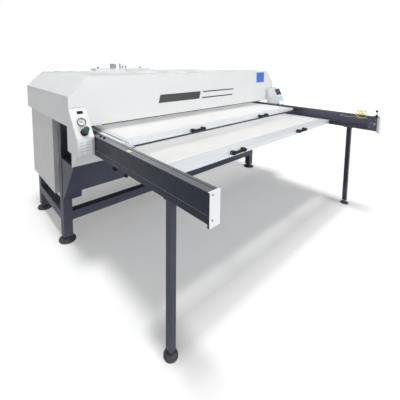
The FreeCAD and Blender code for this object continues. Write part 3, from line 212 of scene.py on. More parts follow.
WHITE = (0.77, 0.785, 0.79)
PAINT = (0.052, 0.058, 0.086)
FINISHES = {
    "white_powder": dict(colour=WHITE, roughness=0.42, spread=0.012, grain=650.0, bump=0.10, wear=0.30),
    "grey_powder": dict(colour=(0.68, 0.685, 0.68), roughness=0.45, spread=0.02, grain=650.0, bump=0.10,
        dirt=0.25),
    "frame_paint": dict(colour=PAINT, roughness=0.40, spread=0.14, grain=420.0, bump=0.16, wear=0.22,
        coat=0.05, dirt=0.12, specular=0.22),
    "rail_face": dict(colour=(0.018, 0.023, 0.045), roughness=0.27, metallic=0.40, spread=0.10,
        grain=900.0, bump=0.06, wear=0.30, stretch=(1.0, 0.02, 1.0), streak=0.3, specular=0.35),
    # Lighter copy of rail_face: painted light on the rail faces turned to the left.
    "rail_face_painted_light": dict(colour=(0.085, 0.088, 0.125), roughness=0.38, metallic=0.2, spread=0.10,
        grain=900.0, bump=0.06, wear=0.2, stretch=(1.0, 0.02, 1.0), streak=0.3, specular=0.35),
    "foot_plastic": dict(colour=(0.036, 0.038, 0.052), roughness=0.46, spread=0.15, grain=900.0,
        bump=0.25, wear=0.10, dirt=0.15, specular=0.3),
    "rail_top": dict(colour=(0.30, 0.31, 0.35), roughness=0.24, metallic=1.0, spread=0.05, grain=900.0,
        bump=0.04, wear=0.1, stretch=(1.0, 0.02, 1.0), streak=0.2),
    "aluminium": dict(colour=(0.66, 0.68, 0.70), roughness=0.34, metallic=0.75, spread=0.03, grain=1200.0,
        bump=0.10, wear=0.2, stretch=(0.03, 1.0, 1.0), streak=0.25),
    "tray_aluminium": dict(colour=(0.76, 0.79, 0.82), roughness=0.42, metallic=0.20, spread=0.02,
        grain=1200.0, bump=0.06, wear=0.12, stretch=(0.03, 1.0, 1.0), streak=0.12),
    "bare_steel": dict(colour=(0.46, 0.46, 0.47), roughness=0.36, metallic=0.9, spread=0.08, grain=700.0,
        bump=0.15, wear=0.2, stretch=(0.05, 1.0, 1.0), streak=0.3),
    "zinc": dict(colour=(0.42, 0.43, 0.46), roughness=0.38, metallic=0.8, spread=0.12, grain=300.0,
        bump=0.1),
    "black_steel": dict(colour=(0.018, 0.018, 0.021), roughness=0.40, metallic=0.4, spread=0.15,
        grain=800.0, bump=0.15, wear=0.3),
    "black_plastic": dict(colour=(0.014, 0.015, 0.018), roughness=0.42, spread=0.15, grain=1100.0,
        bump=0.25, wear=0.10, specular=0.25),
    "white_plastic": dict(colour=(0.83, 0.84, 0.86), roughness=0.38, spread=0.015, grain=900.0, bump=0.08,
        wear=0.15),
    "screen": dict(colour=(0.012, 0.022, 0.075), roughness=0.12, spread=0.10, grain=300.0, bump=0.02,
        coat=0.8),
    "screen_glow": dict(colour=(0.035, 0.085, 0.26), roughness=0.15, spread=0.08, grain=300.0, bump=0.02,
        coat=0.8),
    "keys": dict(colour=(0.50, 0.66, 0.78), roughness=0.40, spread=0.03, grain=900.0, bump=0.10),
    "green_plastic": dict(colour=(0.02, 0.32, 0.07), roughness=0.25, spread=0.08, bump=0.05, coat=0.5),
    "red_plastic": dict(colour=(0.50, 0.02, 0.015), roughness=0.25, spread=0.08, bump=0.05, coat=0.5),
    "yellow_hose": dict(colour=(0.86, 0.72, 0.16), roughness=0.30, bump=0.05, coat=0.4),
    "rubber": dict(colour=(0.035, 0.040, 0.040), roughness=0.75, spread=0.2, grain=900.0, bump=0.4,
        wear=0.0),
    "graphite_film": dict(colour=(0.045, 0.044, 0.042), roughness=0.42, spread=0.05, bump=0.03, wear=0.0),
    "blue_enamel": dict(colour=(0.012, 0.14, 0.66), roughness=0.22, bump=0.03, coat=0.6),
    "pale_film": dict(colour=(0.80, 0.82, 0.84), roughness=0.45, spread=0.03, bump=0.03),
    "grey_ink": dict(colour=(0.50, 0.53, 0.57), roughness=0.5, bump=0.02, wear=0.0),
    "straw_film": dict(colour=(0.80, 0.76, 0.42), roughness=0.45, spread=0.04, bump=0.03),
    "gauge_bezel": dict(colour=(0.23, 0.22, 0.19), roughness=0.32, metallic=0.85, spread=0.08,
        grain=700.0, bump=0.08, wear=0.2),
    "clear_hose": dict(colour=(0.62, 0.60, 0.47), roughness=0.30, spread=0.05, bump=0.05, coat=0.4),
    "green_band": dict(colour=(0.016, 0.055, 0.045), roughness=0.40, spread=0.15, grain=700.0, bump=0.1),
    "green_cap": dict(colour=(0.03, 0.095, 0.08), roughness=0.35, spread=0.12, grain=700.0, bump=0.1),
    "dial_white": dict(colour=(0.86, 0.86, 0.83), roughness=0.50, spread=0.01, grain=600.0, bump=0.02,
        wear=0.0),
}
M = {name: finish(name, **values) for name, values in FINISHES.items()}
M["felt"] = felt_finish("felt", (0.80, 0.80, 0.79))
M["mineral_wool"] = felt_finish("mineral_wool", (0.50, 0.44, 0.28))
M["clear_glass"] = glass_finish()

NODE_FINISH = {
    "left_rail": "rail_face",
    "right_rail": "rail_face",
    "tray_tracks": "rail_face",
    "upper_tray_frame": "tray_aluminium",
    "lower_tray_frame": "tray_aluminium",
    "levelling_feet": "foot_plastic",
    "gauge_case": "gauge_bezel",
    "regulator_knob": "green_band",
}


def dress_cad():
    """Each CAD node takes the finish of its material slot."""
    slots = {row["node"]: row["material_slot"] for row in frame["record"]["subparts"]}
    for name, obj in NODES.items():
        obj.data.materials.clear()
        obj.data.materials.append(M[NODE_FINISH.get(name, slots[name])])


def repaint(node, material, test):
    """Gives the faces of a CAD node that pass the test another finish."""
    obj = NODES[node]
    obj.data.materials.append(M[material])
    index = len(obj.data.materials) - 1
    for face in obj.data.polygons:
        if test(face):
            face.material_index = index


# -------- building blocks

def place(obj, material, body):
    obj.data.materials.clear()
    obj.data.materials.append(M[material])
    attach(obj, body)
    return obj


def from_bmesh(name, bm, smooth=False):
    mesh = bpy.data.meshes.new(name)
    bm.to_mesh(mesh)
    bm.free()
    obj = bpy.data.objects.new(name, mesh)
    show(obj)
    for face in mesh.polygons:
        face.use_smooth = smooth
    return obj


def soft_box(bm, low, high, radius, matrix=None):
    """Adds a block with rounded edges to a bmesh."""
    made = bmesh.ops.create_cube(bm, size=1.0)["verts"]
    size = Vector(high) - Vector(low)
    centre = (Vector(high) + Vector(low)) / 2
    bmesh.ops.scale(bm, vec=size, verts=made)
    bmesh.ops.translate(bm, vec=centre, verts=made)
    edges = list({e for v in made for e in v.link_edges})
    result = bmesh.ops.bevel(bm, geom=edges, offset=radius, segments=2, profile=0.6, affect="EDGES")
    if matrix is not None:
        verts = list({v for f in result["faces"] for v in f.verts} | {v for v in made if v.is_valid})
        linked = set(verts)
        for v in verts:
            for e in v.link_edges:
                linked.update(e.verts)
        bmesh.ops.transform(bm, matrix=matrix, verts=list(linked))


def lathe(bm, profile, segments, matrix):
    """Adds a turned shape: profile is a list of (radius, height)."""
    rings = []
    for radius, height in profile:
        ring = []
        for i in range(segments):
            angle = 2 * math.pi * i / segments
            point = Vector((radius * math.cos(angle), radius * math.sin(angle), height))
            ring.append(bm.verts.new(matrix @ point))
        rings.append(ring)
    for first, second in zip(rings, rings[1:]):
        for i in range(segments):
            j = (i + 1) % segments
            bm.faces.new((first[i], first[j], second[j], second[i]))
    bm.faces.new(rings[0][::-1])
    bm.faces.new(rings[-1])


def tube(name, points, radius):
    """Round cord through the points."""
    curve = bpy.data.curves.new(name, "CURVE")
    curve.dimensions = "3D"
    curve.bevel_depth = radius
    curve.bevel_resolution = 4
    curve.use_fill_caps = True
    spline = curve.splines.new("NURBS")
    spline.points.add(len(points) - 1)
    for point, place_at in zip(spline.points, points):
        point.co = (*place_at, 1.0)
    spline.use_endpoint_u = True
    spline.order_u = 4
    spline.resolution_u = 4
    obj = bpy.data.objects.new(name, curve)
    show(obj)
    bpy.context.view_layer.update()
    mesh = bpy.data.meshes.new_from_object(obj.evaluated_get(bpy.context.evaluated_depsgraph_get()))
    bpy.data.objects.remove(obj)
    solid = bpy.data.objects.new(name, mesh)
    show(solid)
    for face in mesh.polygons:
        face.use_smooth = True
    return solid


def panel_frame(origin, up, right):
    """Matrix with x along right, y along up and z out of a panel."""
    right = Vector(right).normalized()
    up = Vector(up).normalized()
    out = right.cross(up)
    matrix = Matrix((right, up, out)).transposed().to_4x4()
    matrix.translation = Vector(origin)
    return matrix


# -------- soft goods

def grid_pad(name, low, high, cell, roll):
    """Closed pad with a rounded rim, as rings of points from the underside round to the top."""
    low, high = Vector(low), Vector(high)
    bm = bmesh.new()
    nx = max(2, round((high.x - low.x - 2 * roll) / cell))
    ny = max(2, round((high.y - low.y - 2 * roll) / cell))
    xs = [low.x + roll + (high.x - low.x - 2 * roll) * i / nx for i in range(nx + 1)]
    ys = [low.y + roll + (high.y - low.y - 2 * roll) * j / ny for j in range(ny + 1)]
    top = [[bm.verts.new((x, y, high.z)) for y in ys] for x in xs]
    bottom = [[bm.verts.new((x, y, low.z)) for y in ys] for x in xs]
    for i in range(nx):
        for j in range(ny):
            bm.faces.new((top[i][j], top[i + 1][j], top[i + 1][j + 1], top[i][j + 1]))
            bm.faces.new((bottom[i][j], bottom[i][j + 1], bottom[i + 1][j + 1], bottom[i + 1][j]))
    loop = [(i, 0) for i in range(nx)] + [(nx, j) for j in range(ny)]
    loop += [(i, ny) for i in range(nx, 0, -1)] + [(0, j) for j in range(ny, 0, -1)]
    half = (high.z - low.z) / 2
    middle = (high.z + low.z) / 2
    steps = 4
    rings = [[top[i][j] for i, j in loop]]
    for step in range(1, steps):
        angle = math.pi / 2 - math.pi * step / steps
        ring = []
        for i, j in loop:
            out = Vector(((i == nx) - (i == 0), (j == ny) - (j == 0), 0.0))
            corner = out.length > 1.1
            out = out.normalized() if corner else out
            ring.append(bm.verts.new((
                xs[i] + out.x * roll * math.cos(angle), ys[j] + out.y * roll * math.cos(angle),
                middle + half * math.sin(angle))))
        rings.append(ring)
    rings.append([bottom[i][j] for i, j in loop])
    count = len(loop)
    for first, second in zip(rings, rings[1:]):
        for k in range(count):
            m = (k + 1) % count
            bm.faces.new((first[k], second[k], second[m], first[m]))
    bmesh.ops.recalc_face_normals(bm, faces=bm.faces)
    return from_bmesh(name, bm, smooth=True)


def settle(obj, limit, frames=20):
    """Inflates the pad a little with the Cloth solver and keeps every point within the limit."""
    scene = bpy.context.scene
    rest = [v.co.copy() for v in obj.data.vertices]
    low = min(v.z for v in rest)
    pins = obj.vertex_groups.new(name="underside")
    pins.add([i for i, v in enumerate(rest) if v.z < low + 0.001], 1.0, "REPLACE")
    cloth = obj.modifiers.new("cloth", "CLOTH")
    cloth.settings.quality = 4
    cloth.settings.mass = 0.4
    cloth.settings.tension_stiffness = 40.0
    cloth.settings.compression_stiffness = 40.0
    cloth.settings.bending_stiffness = 2.0
    cloth.settings.use_pressure = True
    cloth.settings.uniform_pressure_force = 4.0
    cloth.settings.effector_weights.gravity = 0.0
    cloth.settings.vertex_group_mass = "underside"
    cloth.collision_settings.use_collision = False
    cloth.point_cache.frame_start = 1
    cloth.point_cache.frame_end = frames
    for number in range(1, frames + 1):
        scene.frame_set(number)
    graph = bpy.context.evaluated_depsgraph_get()
    moved = [v.co.copy() for v in obj.evaluated_get(graph).data.vertices]
    obj.modifiers.remove(cloth)
    obj.vertex_groups.remove(pins)
    scene.frame_set(1)
    for vertex, start, end in zip(obj.data.vertices, rest, moved):
        step = end - start
        if step.length > limit:
            step *= limit / step.length
        vertex.co = start + step


PAD_CELL = 24 * MM
PAD_ROLL = 3 * MM            # rounding of the pad's rim
PAD_PUFF = 1.2 * MM          # furthest the cloth may swell
PAD_WAVE = 0.5 * MM


def soft_pad(level):
    """White felt pad of a tray, with a pressed edge and a gentle unevenness."""
    low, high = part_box(level + "_tray_pad")
    body = level + "_tray"
    pad = grid_pad(level + "_felt_pad", low, high, PAD_CELL, PAD_ROLL)
    settle(pad, PAD_PUFF)
    for vertex in pad.data.vertices:
        if vertex.co.z > high.z - 4 * MM:
            p = vertex.co
            wave = noise.noise(Vector((p.x * 2.1, p.y * 2.1, 3.0 if level == "upper" else 9.0)))
            near = min(p.x - low.x, high.x - p.x, p.y - low.y, high.y - p.y)
            flat = min(1.0, near / 0.03)
            vertex.co.z += PAD_WAVE * wave * flat
            vertex.co.z = min(vertex.co.z, high.z + 1.5 * MM)
    subdivide = pad.modifiers.new("round", "SUBSURF")
    subdivide.levels = 1
    subdivide.render_levels = 1
    place(pad, "felt", body)
    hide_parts(level + "_tray_pad")


def wool_blanket():
    """Mineral wool over the platen, with an uneven top."""
    low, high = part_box("platen_insulation")
    blanket = grid_pad("platen_blanket", low, high, 0.05, 0.012)
    for vertex in blanket.data.vertices:
        if vertex.co.z > high.z - 10 * MM:
            vertex.co.z -= 3 * MM * (0.5 + noise.noise(vertex.co * 9.0))
    place(blanket, "mineral_wool", "machine")
    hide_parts("platen_insulation")


HOSE_RADIUS = 3.4 * MM
COIL_TURNS = 5.5
COIL_POINTS_PER_TURN = 18
AIR_LINE_LENGTH = 0.272
AIR_LINE_RADIUS = 2.0 * MM
WIRE_RADIUS = 1.4 * MM


def coiled_hose():
    """Yellow coil on the right rail, the pale air line beside it and the wire that arches to the valve."""
    low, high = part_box("coiled_hose")
    rail_low, rail_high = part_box("right_rail")
    rail_top = rail_high.z
    inner = rail_low.x
    radius = (high.z - low.z) / 2 - HOSE_RADIUS
    centre_x = (low.x + high.x) / 2
    centre_z = (low.z + high.z) / 2
    start_y = low.y + HOSE_RADIUS
    end_y = high.y - HOSE_RADIUS
    resting = rail_top + HOSE_RADIUS + 1 * MM
    points = []
    count = int(COIL_TURNS * COIL_POINTS_PER_TURN)
    for i in range(count + 1):
        t = i / count
        angle = -math.pi / 2 + 2 * math.pi * COIL_TURNS * t
        loose = 0.90 + 0.10 * math.sin(1.7 * angle + 0.6)
        lean = 5 * MM * math.sin(angle) * math.cos(0.37 * angle)
        points.append((
            centre_x + radius * math.cos(angle) * loose, start_y + (end_y - start_y) * t + lean,
            centre_z - radius * (1 - loose) + radius * math.sin(angle) * loose))
    tail = [
        (centre_x + 4 * MM, start_y - 20 * MM, resting),
        (centre_x + 2 * MM, start_y - 10 * MM, resting),
    ]
    hanging_x = inner - 4 * MM
    lead = [
        (centre_x + 2 * MM, end_y + 8 * MM, centre_z - radius * 0.4),
        (centre_x - 8 * MM, end_y + 16 * MM, resting),
        (inner + 6 * MM, end_y + 12 * MM, resting),
        (hanging_x, end_y + 5 * MM, resting),
        (hanging_x, end_y - 5 * MM, rail_top - 7 * MM),
        (hanging_x, end_y - 30 * MM, rail_top - 20 * MM),
        (hanging_x, end_y - 60 * MM, rail_top - 26 * MM),
        (hanging_x, start_y - 4 * MM, rail_top - 16 * MM),
    ]
    coil = tube("yellow_air_coil", tail + points + lead, HOSE_RADIUS)
    place(coil, "yellow_hose", "machine")
    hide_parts("coiled_hose")
    line = []
    for i in range(25):
        t = i / 24
        sag = 5 * MM * math.sin(2 * math.pi * 2.5 * t)
        line.append((inner - 3.4 * MM, start_y - 22 * MM + AIR_LINE_LENGTH * t, rail_top - 25 * MM + sag))
    place(tube("rail_air_line", line, AIR_LINE_RADIUS), "clear_hose", "machine")
    valve_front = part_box("hand_valve")[1].y
    wire_x = centre_x + 2 * MM
    wire = [
        (wire_x, start_y - 14 * MM, rail_top + 6 * MM), (wire_x, start_y - 22 * MM, rail_top + 24 * MM),
        (wire_x, start_y - 42 * MM, rail_top + 38 * MM), (wire_x, start_y - 62 * MM, rail_top + 28 * MM),
        (wire_x + 4 * MM, valve_front - 1 * MM, rail_top + 5 * MM),
        (wire_x + 4 * MM, valve_front - 6 * MM, rail_top + 5 * MM),
    ]
    place(tube("valve_wire", wire, WIRE_RADIUS), "black_plastic", "machine")


# -------- graphics and controls

# Front cover: distances from the cover's lower edge, its right side and its top.
STRIPES_UP = 0.125
STRIPES_HEIGHT = 0.082
THIN_STRIPE_HEIGHT = 0.014
WIDE_STRIPE = (-0.594, -0.030)
THIN_STRIPES = (0.010, 0.553)
STRIPE_SLANT = 0.25
STRIPE_FILM = 0.6 * MM
FILM_EDGE = 0.25 * MM
PLATE_FROM_SIDE = 0.238
PLATE_FROM_TOP = 0.022
PLATE_WIDTH = 0.180
PLATE_HEIGHT = 0.134
PLATE_RIM = 6 * MM
DOT_FROM_SIDE = 0.335
DOT_UP = 0.027
DOT_RADIUS = 12.5 * MM

# Left console: heights above its leaning face, and the label on the upright face below.
NEEDLE_ABOVE_PANEL = 6 * MM
KNOB_JOINT_ABOVE_PANEL = 20 * MM
KNOB_TOP = 62 * MM
DIAL_RADIUS = 29.6 * MM
DIAL_FACE = 2.35 * MM
DIAL_START = 225
DIAL_SWEEP = 270
NUMBER_RADIUS = 16.8 * MM
LABEL_FROM_SIDE = 0.014
LABEL_UP = 0.122
LABEL_WIDTH = 0.102
LABEL_HEIGHT = 0.122
LABEL_COLUMNS = (0.007, 0.051)
# Drop below the label's top, length of the bar, and its height in millimetres.
LABEL_ROWS = (
    (0.010, 0.088, 2.0), (0.022, 0.030, 5.0), (0.030, 0.024, 3.0), (0.044, 0.034, 5.0), (0.052, 0.022, 3.0),
    (0.066, 0.032, 5.0), (0.074, 0.026, 3.0), (0.088, 0.036, 5.0), (0.096, 0.024, 3.0), (0.112, 0.034, 4.0))

# Right console: slope of the leaning face, and the lit shapes on the screen as x0, y0, x1, y1.
CONSOLE_FACE_RISE = 0.200
CONSOLE_FACE_RUN = 0.104
PANEL_SURFACE = 2.05 * MM
SCREEN_SHAPES = (
    (-0.044, 0.018, -0.006, 0.028), (0.004, 0.018, 0.044, 0.028), (-0.044, -0.010, 0.010, 0.010),
    (0.020, -0.010, 0.044, 0.010), (-0.044, -0.028, 0.044, -0.020))


def front_graphics():
    """Plain stripes, an enamel plate and a pale disc on the front cover, in place of any lettering."""
    low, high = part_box("front_cover")
    face = low.y
    film = face - STRIPE_FILM
    bottom = low.z + STRIPES_UP
    top = bottom + STRIPES_HEIGHT
    bars = bmesh.new()
    soft_box(bars, (WIDE_STRIPE[0], film, bottom), (WIDE_STRIPE[1], face, top), FILM_EDGE)
    for z in (bottom, top - THIN_STRIPE_HEIGHT):
        soft_box(bars, (THIN_STRIPES[0], film, z), (THIN_STRIPES[1], face, z + THIN_STRIPE_HEIGHT), FILM_EDGE)
    for vertex in bars.verts:
        vertex.co.x += (vertex.co.z - (bottom + top) / 2) * STRIPE_SLANT
    place(from_bmesh("front_stripes", bars), "graphite_film", "machine")
    right = high.x - PLATE_FROM_SIDE
    left = right - PLATE_WIDTH
    head = high.z - PLATE_FROM_TOP
    foot = head - PLATE_HEIGHT
    plate = bmesh.new()
    soft_box(plate, (left, face - 2.0 * MM, foot), (right, face, head), 0.9 * MM)
    place(from_bmesh("front_plate", plate), "blue_enamel", "machine")
    rim = bmesh.new()
    rim_face = face - 2.6 * MM
    rim_left = left - PLATE_RIM
    rim_right = right + PLATE_RIM
    for low_corner, high_corner in (
            ((rim_left, rim_face, foot - PLATE_RIM), (rim_right, face, foot)),
            ((rim_left, rim_face, head), (rim_right, face, head + PLATE_RIM)),
            ((rim_left, rim_face, foot), (left, face, head)),
            ((right, rim_face, foot), (rim_right, face, head))):
        soft_box(rim, low_corner, high_corner, 0.8 * MM)
    place(from_bmesh("front_plate_rim", rim), "aluminium", "machine")
    dot = bmesh.new()
    seat = panel_frame((low.x + DOT_FROM_SIDE, face, low.z + DOT_UP), (0, 0, 1), (1, 0, 0))
    lathe(dot, [(DOT_RADIUS, 0.0), (DOT_RADIUS, 0.4 * MM), (DOT_RADIUS - 0.7 * MM, 0.6 * MM)], 28, seat)
    place(from_bmesh("front_dot", dot), "straw_film", "machine")


def left_panel():
    """Matrix of the left console's leaning face, at the middle of the gauge."""
    joint = joint_named("gauge_needle_turn")
    out = -Vector(joint["axis"])
    up = out.cross(Vector((1, 0, 0)))
    return panel_frame(Vector(joint["pos_m"]) - out * NEEDLE_ABOVE_PANEL, up, (1, 0, 0))


def gauge_dial():
    """White dial with a scale, seen through the glass."""
    seat = left_panel()
    dial = bmesh.new()
    lathe(dial, [(DIAL_RADIUS, 2.05 * MM), (DIAL_RADIUS, DIAL_FACE)], 48, seat)
    place(from_bmesh("gauge_dial", dial), "dial_white", "machine")
    marks = bmesh.new()
    for index in range(51):
        long_mark = index % 5 == 0
        turn = seat @ Matrix.Rotation(math.radians(DIAL_START - DIAL_SWEEP * index / 50), 4, "Z")
        inner = 0.0205 if long_mark else 0.0235
        half = 0.35 * MM if long_mark else 0.16 * MM
        soft_box(marks, (inner, -half, DIAL_FACE), (0.0262, half, 2.45 * MM), 0.03 * MM, turn)
    place(from_bmesh("gauge_scale", marks), "black_plastic", "machine")
    band = bmesh.new()
    for index in range(12):
        angle = math.radians(DIAL_START - DIAL_SWEEP * (0.32 + 0.024 * index))
        turn = seat @ Matrix.Rotation(angle, 4, "Z")
        soft_box(band, (0.0268, -0.95 * MM, DIAL_FACE), (0.0282, 0.95 * MM, 2.42 * MM), 0.03 * MM, turn)
    place(from_bmesh("gauge_band", band), "green_plastic", "machine")
    for value in range(0, 11, 2):
        angle = math.radians(DIAL_START - DIAL_SWEEP * value / 10)
        text = bpy.data.curves.new("dial_number_%d" % value, "FONT")
        text.body = str(value)
        text.size = 0.0062
        text.align_x = "CENTER"
        text.align_y = "CENTER"
        obj = bpy.data.objects.new("dial_number_%d" % value, text)
        show(obj)
        at = Vector((NUMBER_RADIUS * math.cos(angle), NUMBER_RADIUS * math.sin(angle), 2.42 * MM))
        obj.matrix_world = seat @ Matrix.Translation(at)
        bpy.context.view_layer.update()
        mesh = bpy.data.meshes.new_from_object(obj.evaluated_get(bpy.context.evaluated_depsgraph_get()))
        solid = bpy.data.objects.new("dial_numeral_%d" % value, mesh)
        show(solid)
        solid.matrix_world = obj.matrix_world.copy()
        bpy.data.objects.remove(obj)
        place(solid, "black_plastic", "machine")


def left_console_details():
    """Label plate with plain bars, the regulator's green cap and two printed lines above the gauge."""
    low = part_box("left_console")[0]
    nose = low.y
    left = low.x + LABEL_FROM_SIDE
    bottom = low.z + LABEL_UP
    top = bottom + LABEL_HEIGHT
    plate = bmesh.new()
    soft_box(plate, (left, nose - 0.8 * MM, bottom), (left + LABEL_WIDTH, nose, top), 0.3 * MM)
    place(from_bmesh("left_label_plate", plate), "pale_film", "machine")
    ink = bmesh.new()
    for drop, width, height in LABEL_ROWS:
        z = top - drop
        columns = LABEL_COLUMNS[:1] if width > 0.05 else LABEL_COLUMNS
        for column in columns:
            start = left + column
            soft_box(ink, (start, nose - 1.0 * MM, z - height * MM / 2),
                     (start + width, nose - 0.75 * MM, z + height * MM / 2), 0.08 * MM)
    place(from_bmesh("left_label_bars", ink), "grey_ink", "machine")
    seat = left_panel()
    knob = joint_named("regulator_knob_turn")
    at = seat.copy()
    at.translation = Vector(knob["pos_m"]) - Vector(knob["axis"]) * KNOB_JOINT_ABOVE_PANEL
    cap = bmesh.new()
    cap_profile = [(0.0165, KNOB_TOP - 0.2 * MM), (0.0165, KNOB_TOP + 0.4 * MM), (0.0150, KNOB_TOP + 1 * MM)]
    lathe(cap, cap_profile, 36, at)
    for turn in (20, 140, 260):
        arm = at @ Matrix.Rotation(math.radians(turn), 4, "Z")
        arm_low = (0.004, -1.2 * MM, KNOB_TOP + 0.8 * MM)
        soft_box(cap, arm_low, (0.013, 1.2 * MM, KNOB_TOP + 1.4 * MM), 0.2 * MM, arm)
    place(from_bmesh("regulator_cap", cap), "green_cap", "air_knob")
    marks = bmesh.new()
    for lift in (-1.4 * MM, 1.4 * MM):
        soft_box(marks, (-0.016, 0.040 + lift, 0.05 * MM), (0.016, 0.0412 + lift, 0.25 * MM), 0.04 * MM, seat)
    place(from_bmesh("left_panel_marks", marks), "grey_ink", "machine")


def right_console_details():
    """Lit shapes on the screen and pale legends on the keys; no lettering."""
    lean = math.atan2(CONSOLE_FACE_RISE, CONSOLE_FACE_RUN)
    up = Vector((0, math.cos(lean), math.sin(lean)))
    out = Vector((0, -math.sin(lean), math.cos(lean)))
    screen_low, screen_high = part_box("control_screen")
    seat = panel_frame((screen_low + screen_high) / 2 + out * PANEL_SURFACE, up, (1, 0, 0))
    glow = bmesh.new()
    soft_box(glow, (-0.050, -0.034, 0.0), (0.050, 0.034, 0.15 * MM), 0.05 * MM, seat)
    place(from_bmesh("screen_window", glow), "screen", "machine")
    shapes = bmesh.new()
    for x0, y0, x1, y1 in SCREEN_SHAPES:
        soft_box(shapes, (x0, y0, 0.15 * MM), (x1, y1, 0.25 * MM), 0.04 * MM, seat)
    place(from_bmesh("screen_shapes", shapes), "screen_glow", "machine")
    keys_low, keys_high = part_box("key_panel")
    key_seat = panel_frame((keys_low + keys_high) / 2 + out * PANEL_SURFACE, up, (1, 0, 0))
    legends = bmesh.new()
    for column in (-0.036, -0.012, 0.012, 0.036):
        for row in (-0.014, 0.014):
            spot = key_seat @ Matrix.Translation((column, row, 0.0))
            lathe(legends, [(0.0042, 0.0), (0.0040, 0.15 * MM)], 20, spot)
    place(from_bmesh("key_legends", legends), "white_plastic", "machine")


# -------- fasteners, seals and seams

OUTER_SCREWS_FROM = 1.40     # screws further out than this face outwards
SEAL_DROP = 9 * MM
WELD_RADIUS = 2.6 * MM
STICKER_BACK = 0.691
GROOVE_UP = 39.5 * MM


def screw_recesses():
    """Flat dark hexagons on the screw heads: painted shade in place of their hexagon recesses."""
    dark = bmesh.new()
    for low, high in islands(NODES["screws_and_bolts"]):
        size = high - low
        centre = (low + high) / 2
        thin = min(range(3), key=lambda i: size[i])
        flat = abs(size.x - size.y) < 1 * MM and thin == 2
        on_rail = centre.z > RAIL_TOP - 2 * MM and size.z > 5 * MM and size.x > 10 * MM
        axis = Vector((0, 0, 0))
        if flat or on_rail:
            axis.z = 1.0
        elif thin == 1:
            axis.y = -1.0
        else:
            outwards = 1 if abs(centre.x) > OUTER_SCREWS_FROM else -1
            axis.x = (1.0 if centre.x > 0 else -1.0) * outwards
        up = (0, 0, 1) if abs(axis.z) < 0.5 else (0, 1, 0)
        face = Vector([centre[i] + axis[i] * size[i] / 2 for i in range(3)])
        radius = sorted(size)[1] / 2 * 0.42
        seat = panel_frame(face, up, Vector(up).cross(axis))
        lathe(dark, [(radius, -0.2 * MM), (radius, 0.12 * MM)], 6, seat)
    place(from_bmesh("screw_recesses", dark), "black_steel", "machine")


def islands(obj):
    """Boxes of the separate solids of a CAD node, from welded vertex positions."""
    keys = {}
    parent = {}

    def find(a):
        while parent[a] != a:
            parent[a] = parent[parent[a]]
            a = parent[a]
        return a

    index_key = []
    for v in obj.data.vertices:
        key = tuple(round(c * 20000) for c in v.co)
        index_key.append(key)
        parent.setdefault(key, key)
        keys[key] = v.co.copy()
    for edge in obj.data.edges:
        a, b = (find(index_key[i]) for i in edge.vertices)
        parent[a] = b
    boxes = {}
    for key, co in keys.items():
        root = find(key)
        low, high = boxes.setdefault(root, (co.copy(), co.copy()))
        for i in range(3):
            low[i] = min(low[i], co[i])
            high[i] = max(high[i], co[i])
    return [boxes[k] for k in sorted(boxes)]


def front_seal():
    """Dark brush strip behind the lower edge of the front cover."""
    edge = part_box("front_cover")[0].z
    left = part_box("left_console")[1].x + 4 * MM
    strip = bmesh.new()
    soft_box(strip, (left, 2.4 * MM, edge - SEAL_DROP), (-left, 7 * MM, edge + 4 * MM), 1 * MM)
    place(from_bmesh("front_seal", strip), "rubber", "machine")


def weld_bead(bm, start, end, radius):
    """Slightly uneven seam between two points."""
    start, end = Vector(start), Vector(end)
    along = end - start
    length = along.length
    count = max(3, int(length / 0.006))
    side = along.normalized().orthogonal()
    other = along.normalized().cross(side)
    rings = []
    for i in range(count + 1):
        t = i / count
        swell = radius * (0.8 + 0.35 * abs(math.sin(i * 1.3)) + random.uniform(-0.08, 0.08))
        centre = start + along * t
        ring = []
        for k in range(6):
            angle = 2 * math.pi * k / 6
            ring.append(bm.verts.new(centre + (side * math.cos(angle) + other * math.sin(angle)) * swell))
        rings.append(ring)
    for first, second in zip(rings, rings[1:]):
        for k in range(6):
            m = (k + 1) % 6
            bm.faces.new((first[k], first[m], second[m], second[k]))
    bm.faces.new(rings[0][::-1])
    bm.faces.new(rings[-1])


def weld_seams():
    """Seams where the beams, girders and brackets meet the posts."""
    bm = bmesh.new()
    frame_low, frame_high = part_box("left_side_frame")
    beam_low, beam_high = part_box("lower_beams")
    girder_low, girder_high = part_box("base_girders")
    inner = frame_high.x
    front = frame_low.y
    rear = frame_high.y
    post = inner - frame_low.x
    for side in (1, -1):
        x = side * inner
        for y in (front, rear - post):
            for z in (beam_low.z, beam_high.z):
                weld_bead(bm, (x, y + 2 * MM, z), (x, y + post - 2 * MM, z), WELD_RADIUS)
        for z in (girder_low.z, girder_high.z):
            weld_bead(bm, (x, front + 6 * MM, z), (x, front + 60 * MM, z), WELD_RADIUS)
            weld_bead(bm, (x, rear - 60 * MM, z), (x, rear - 6 * MM, z), WELD_RADIUS)
        outer = x - side * post
        low_x, high_x = sorted((x, outer))
        for y in (front + post, rear - post):
            for z in (beam_low.z, beam_high.z):
                weld_bead(bm, (low_x + 3 * MM, y, z), (high_x - 3 * MM, y, z), WELD_RADIUS)
        low, high = bracket_box(side)
        weld_bead(bm, (outer, front, low.z + 4 * MM), (outer, front, high.z - 4 * MM), WELD_RADIUS)
    place(from_bmesh("weld_seams", bm, smooth=True), "frame_paint", "machine")


def bracket_box(side):
    """Box of the tapered bracket in front of one front post."""
    boxes = [b for b in islands(NODES["brackets"]) if b[0].y < 0.02 and (b[0].x < 0) == (side > 0)]
    return boxes[0]


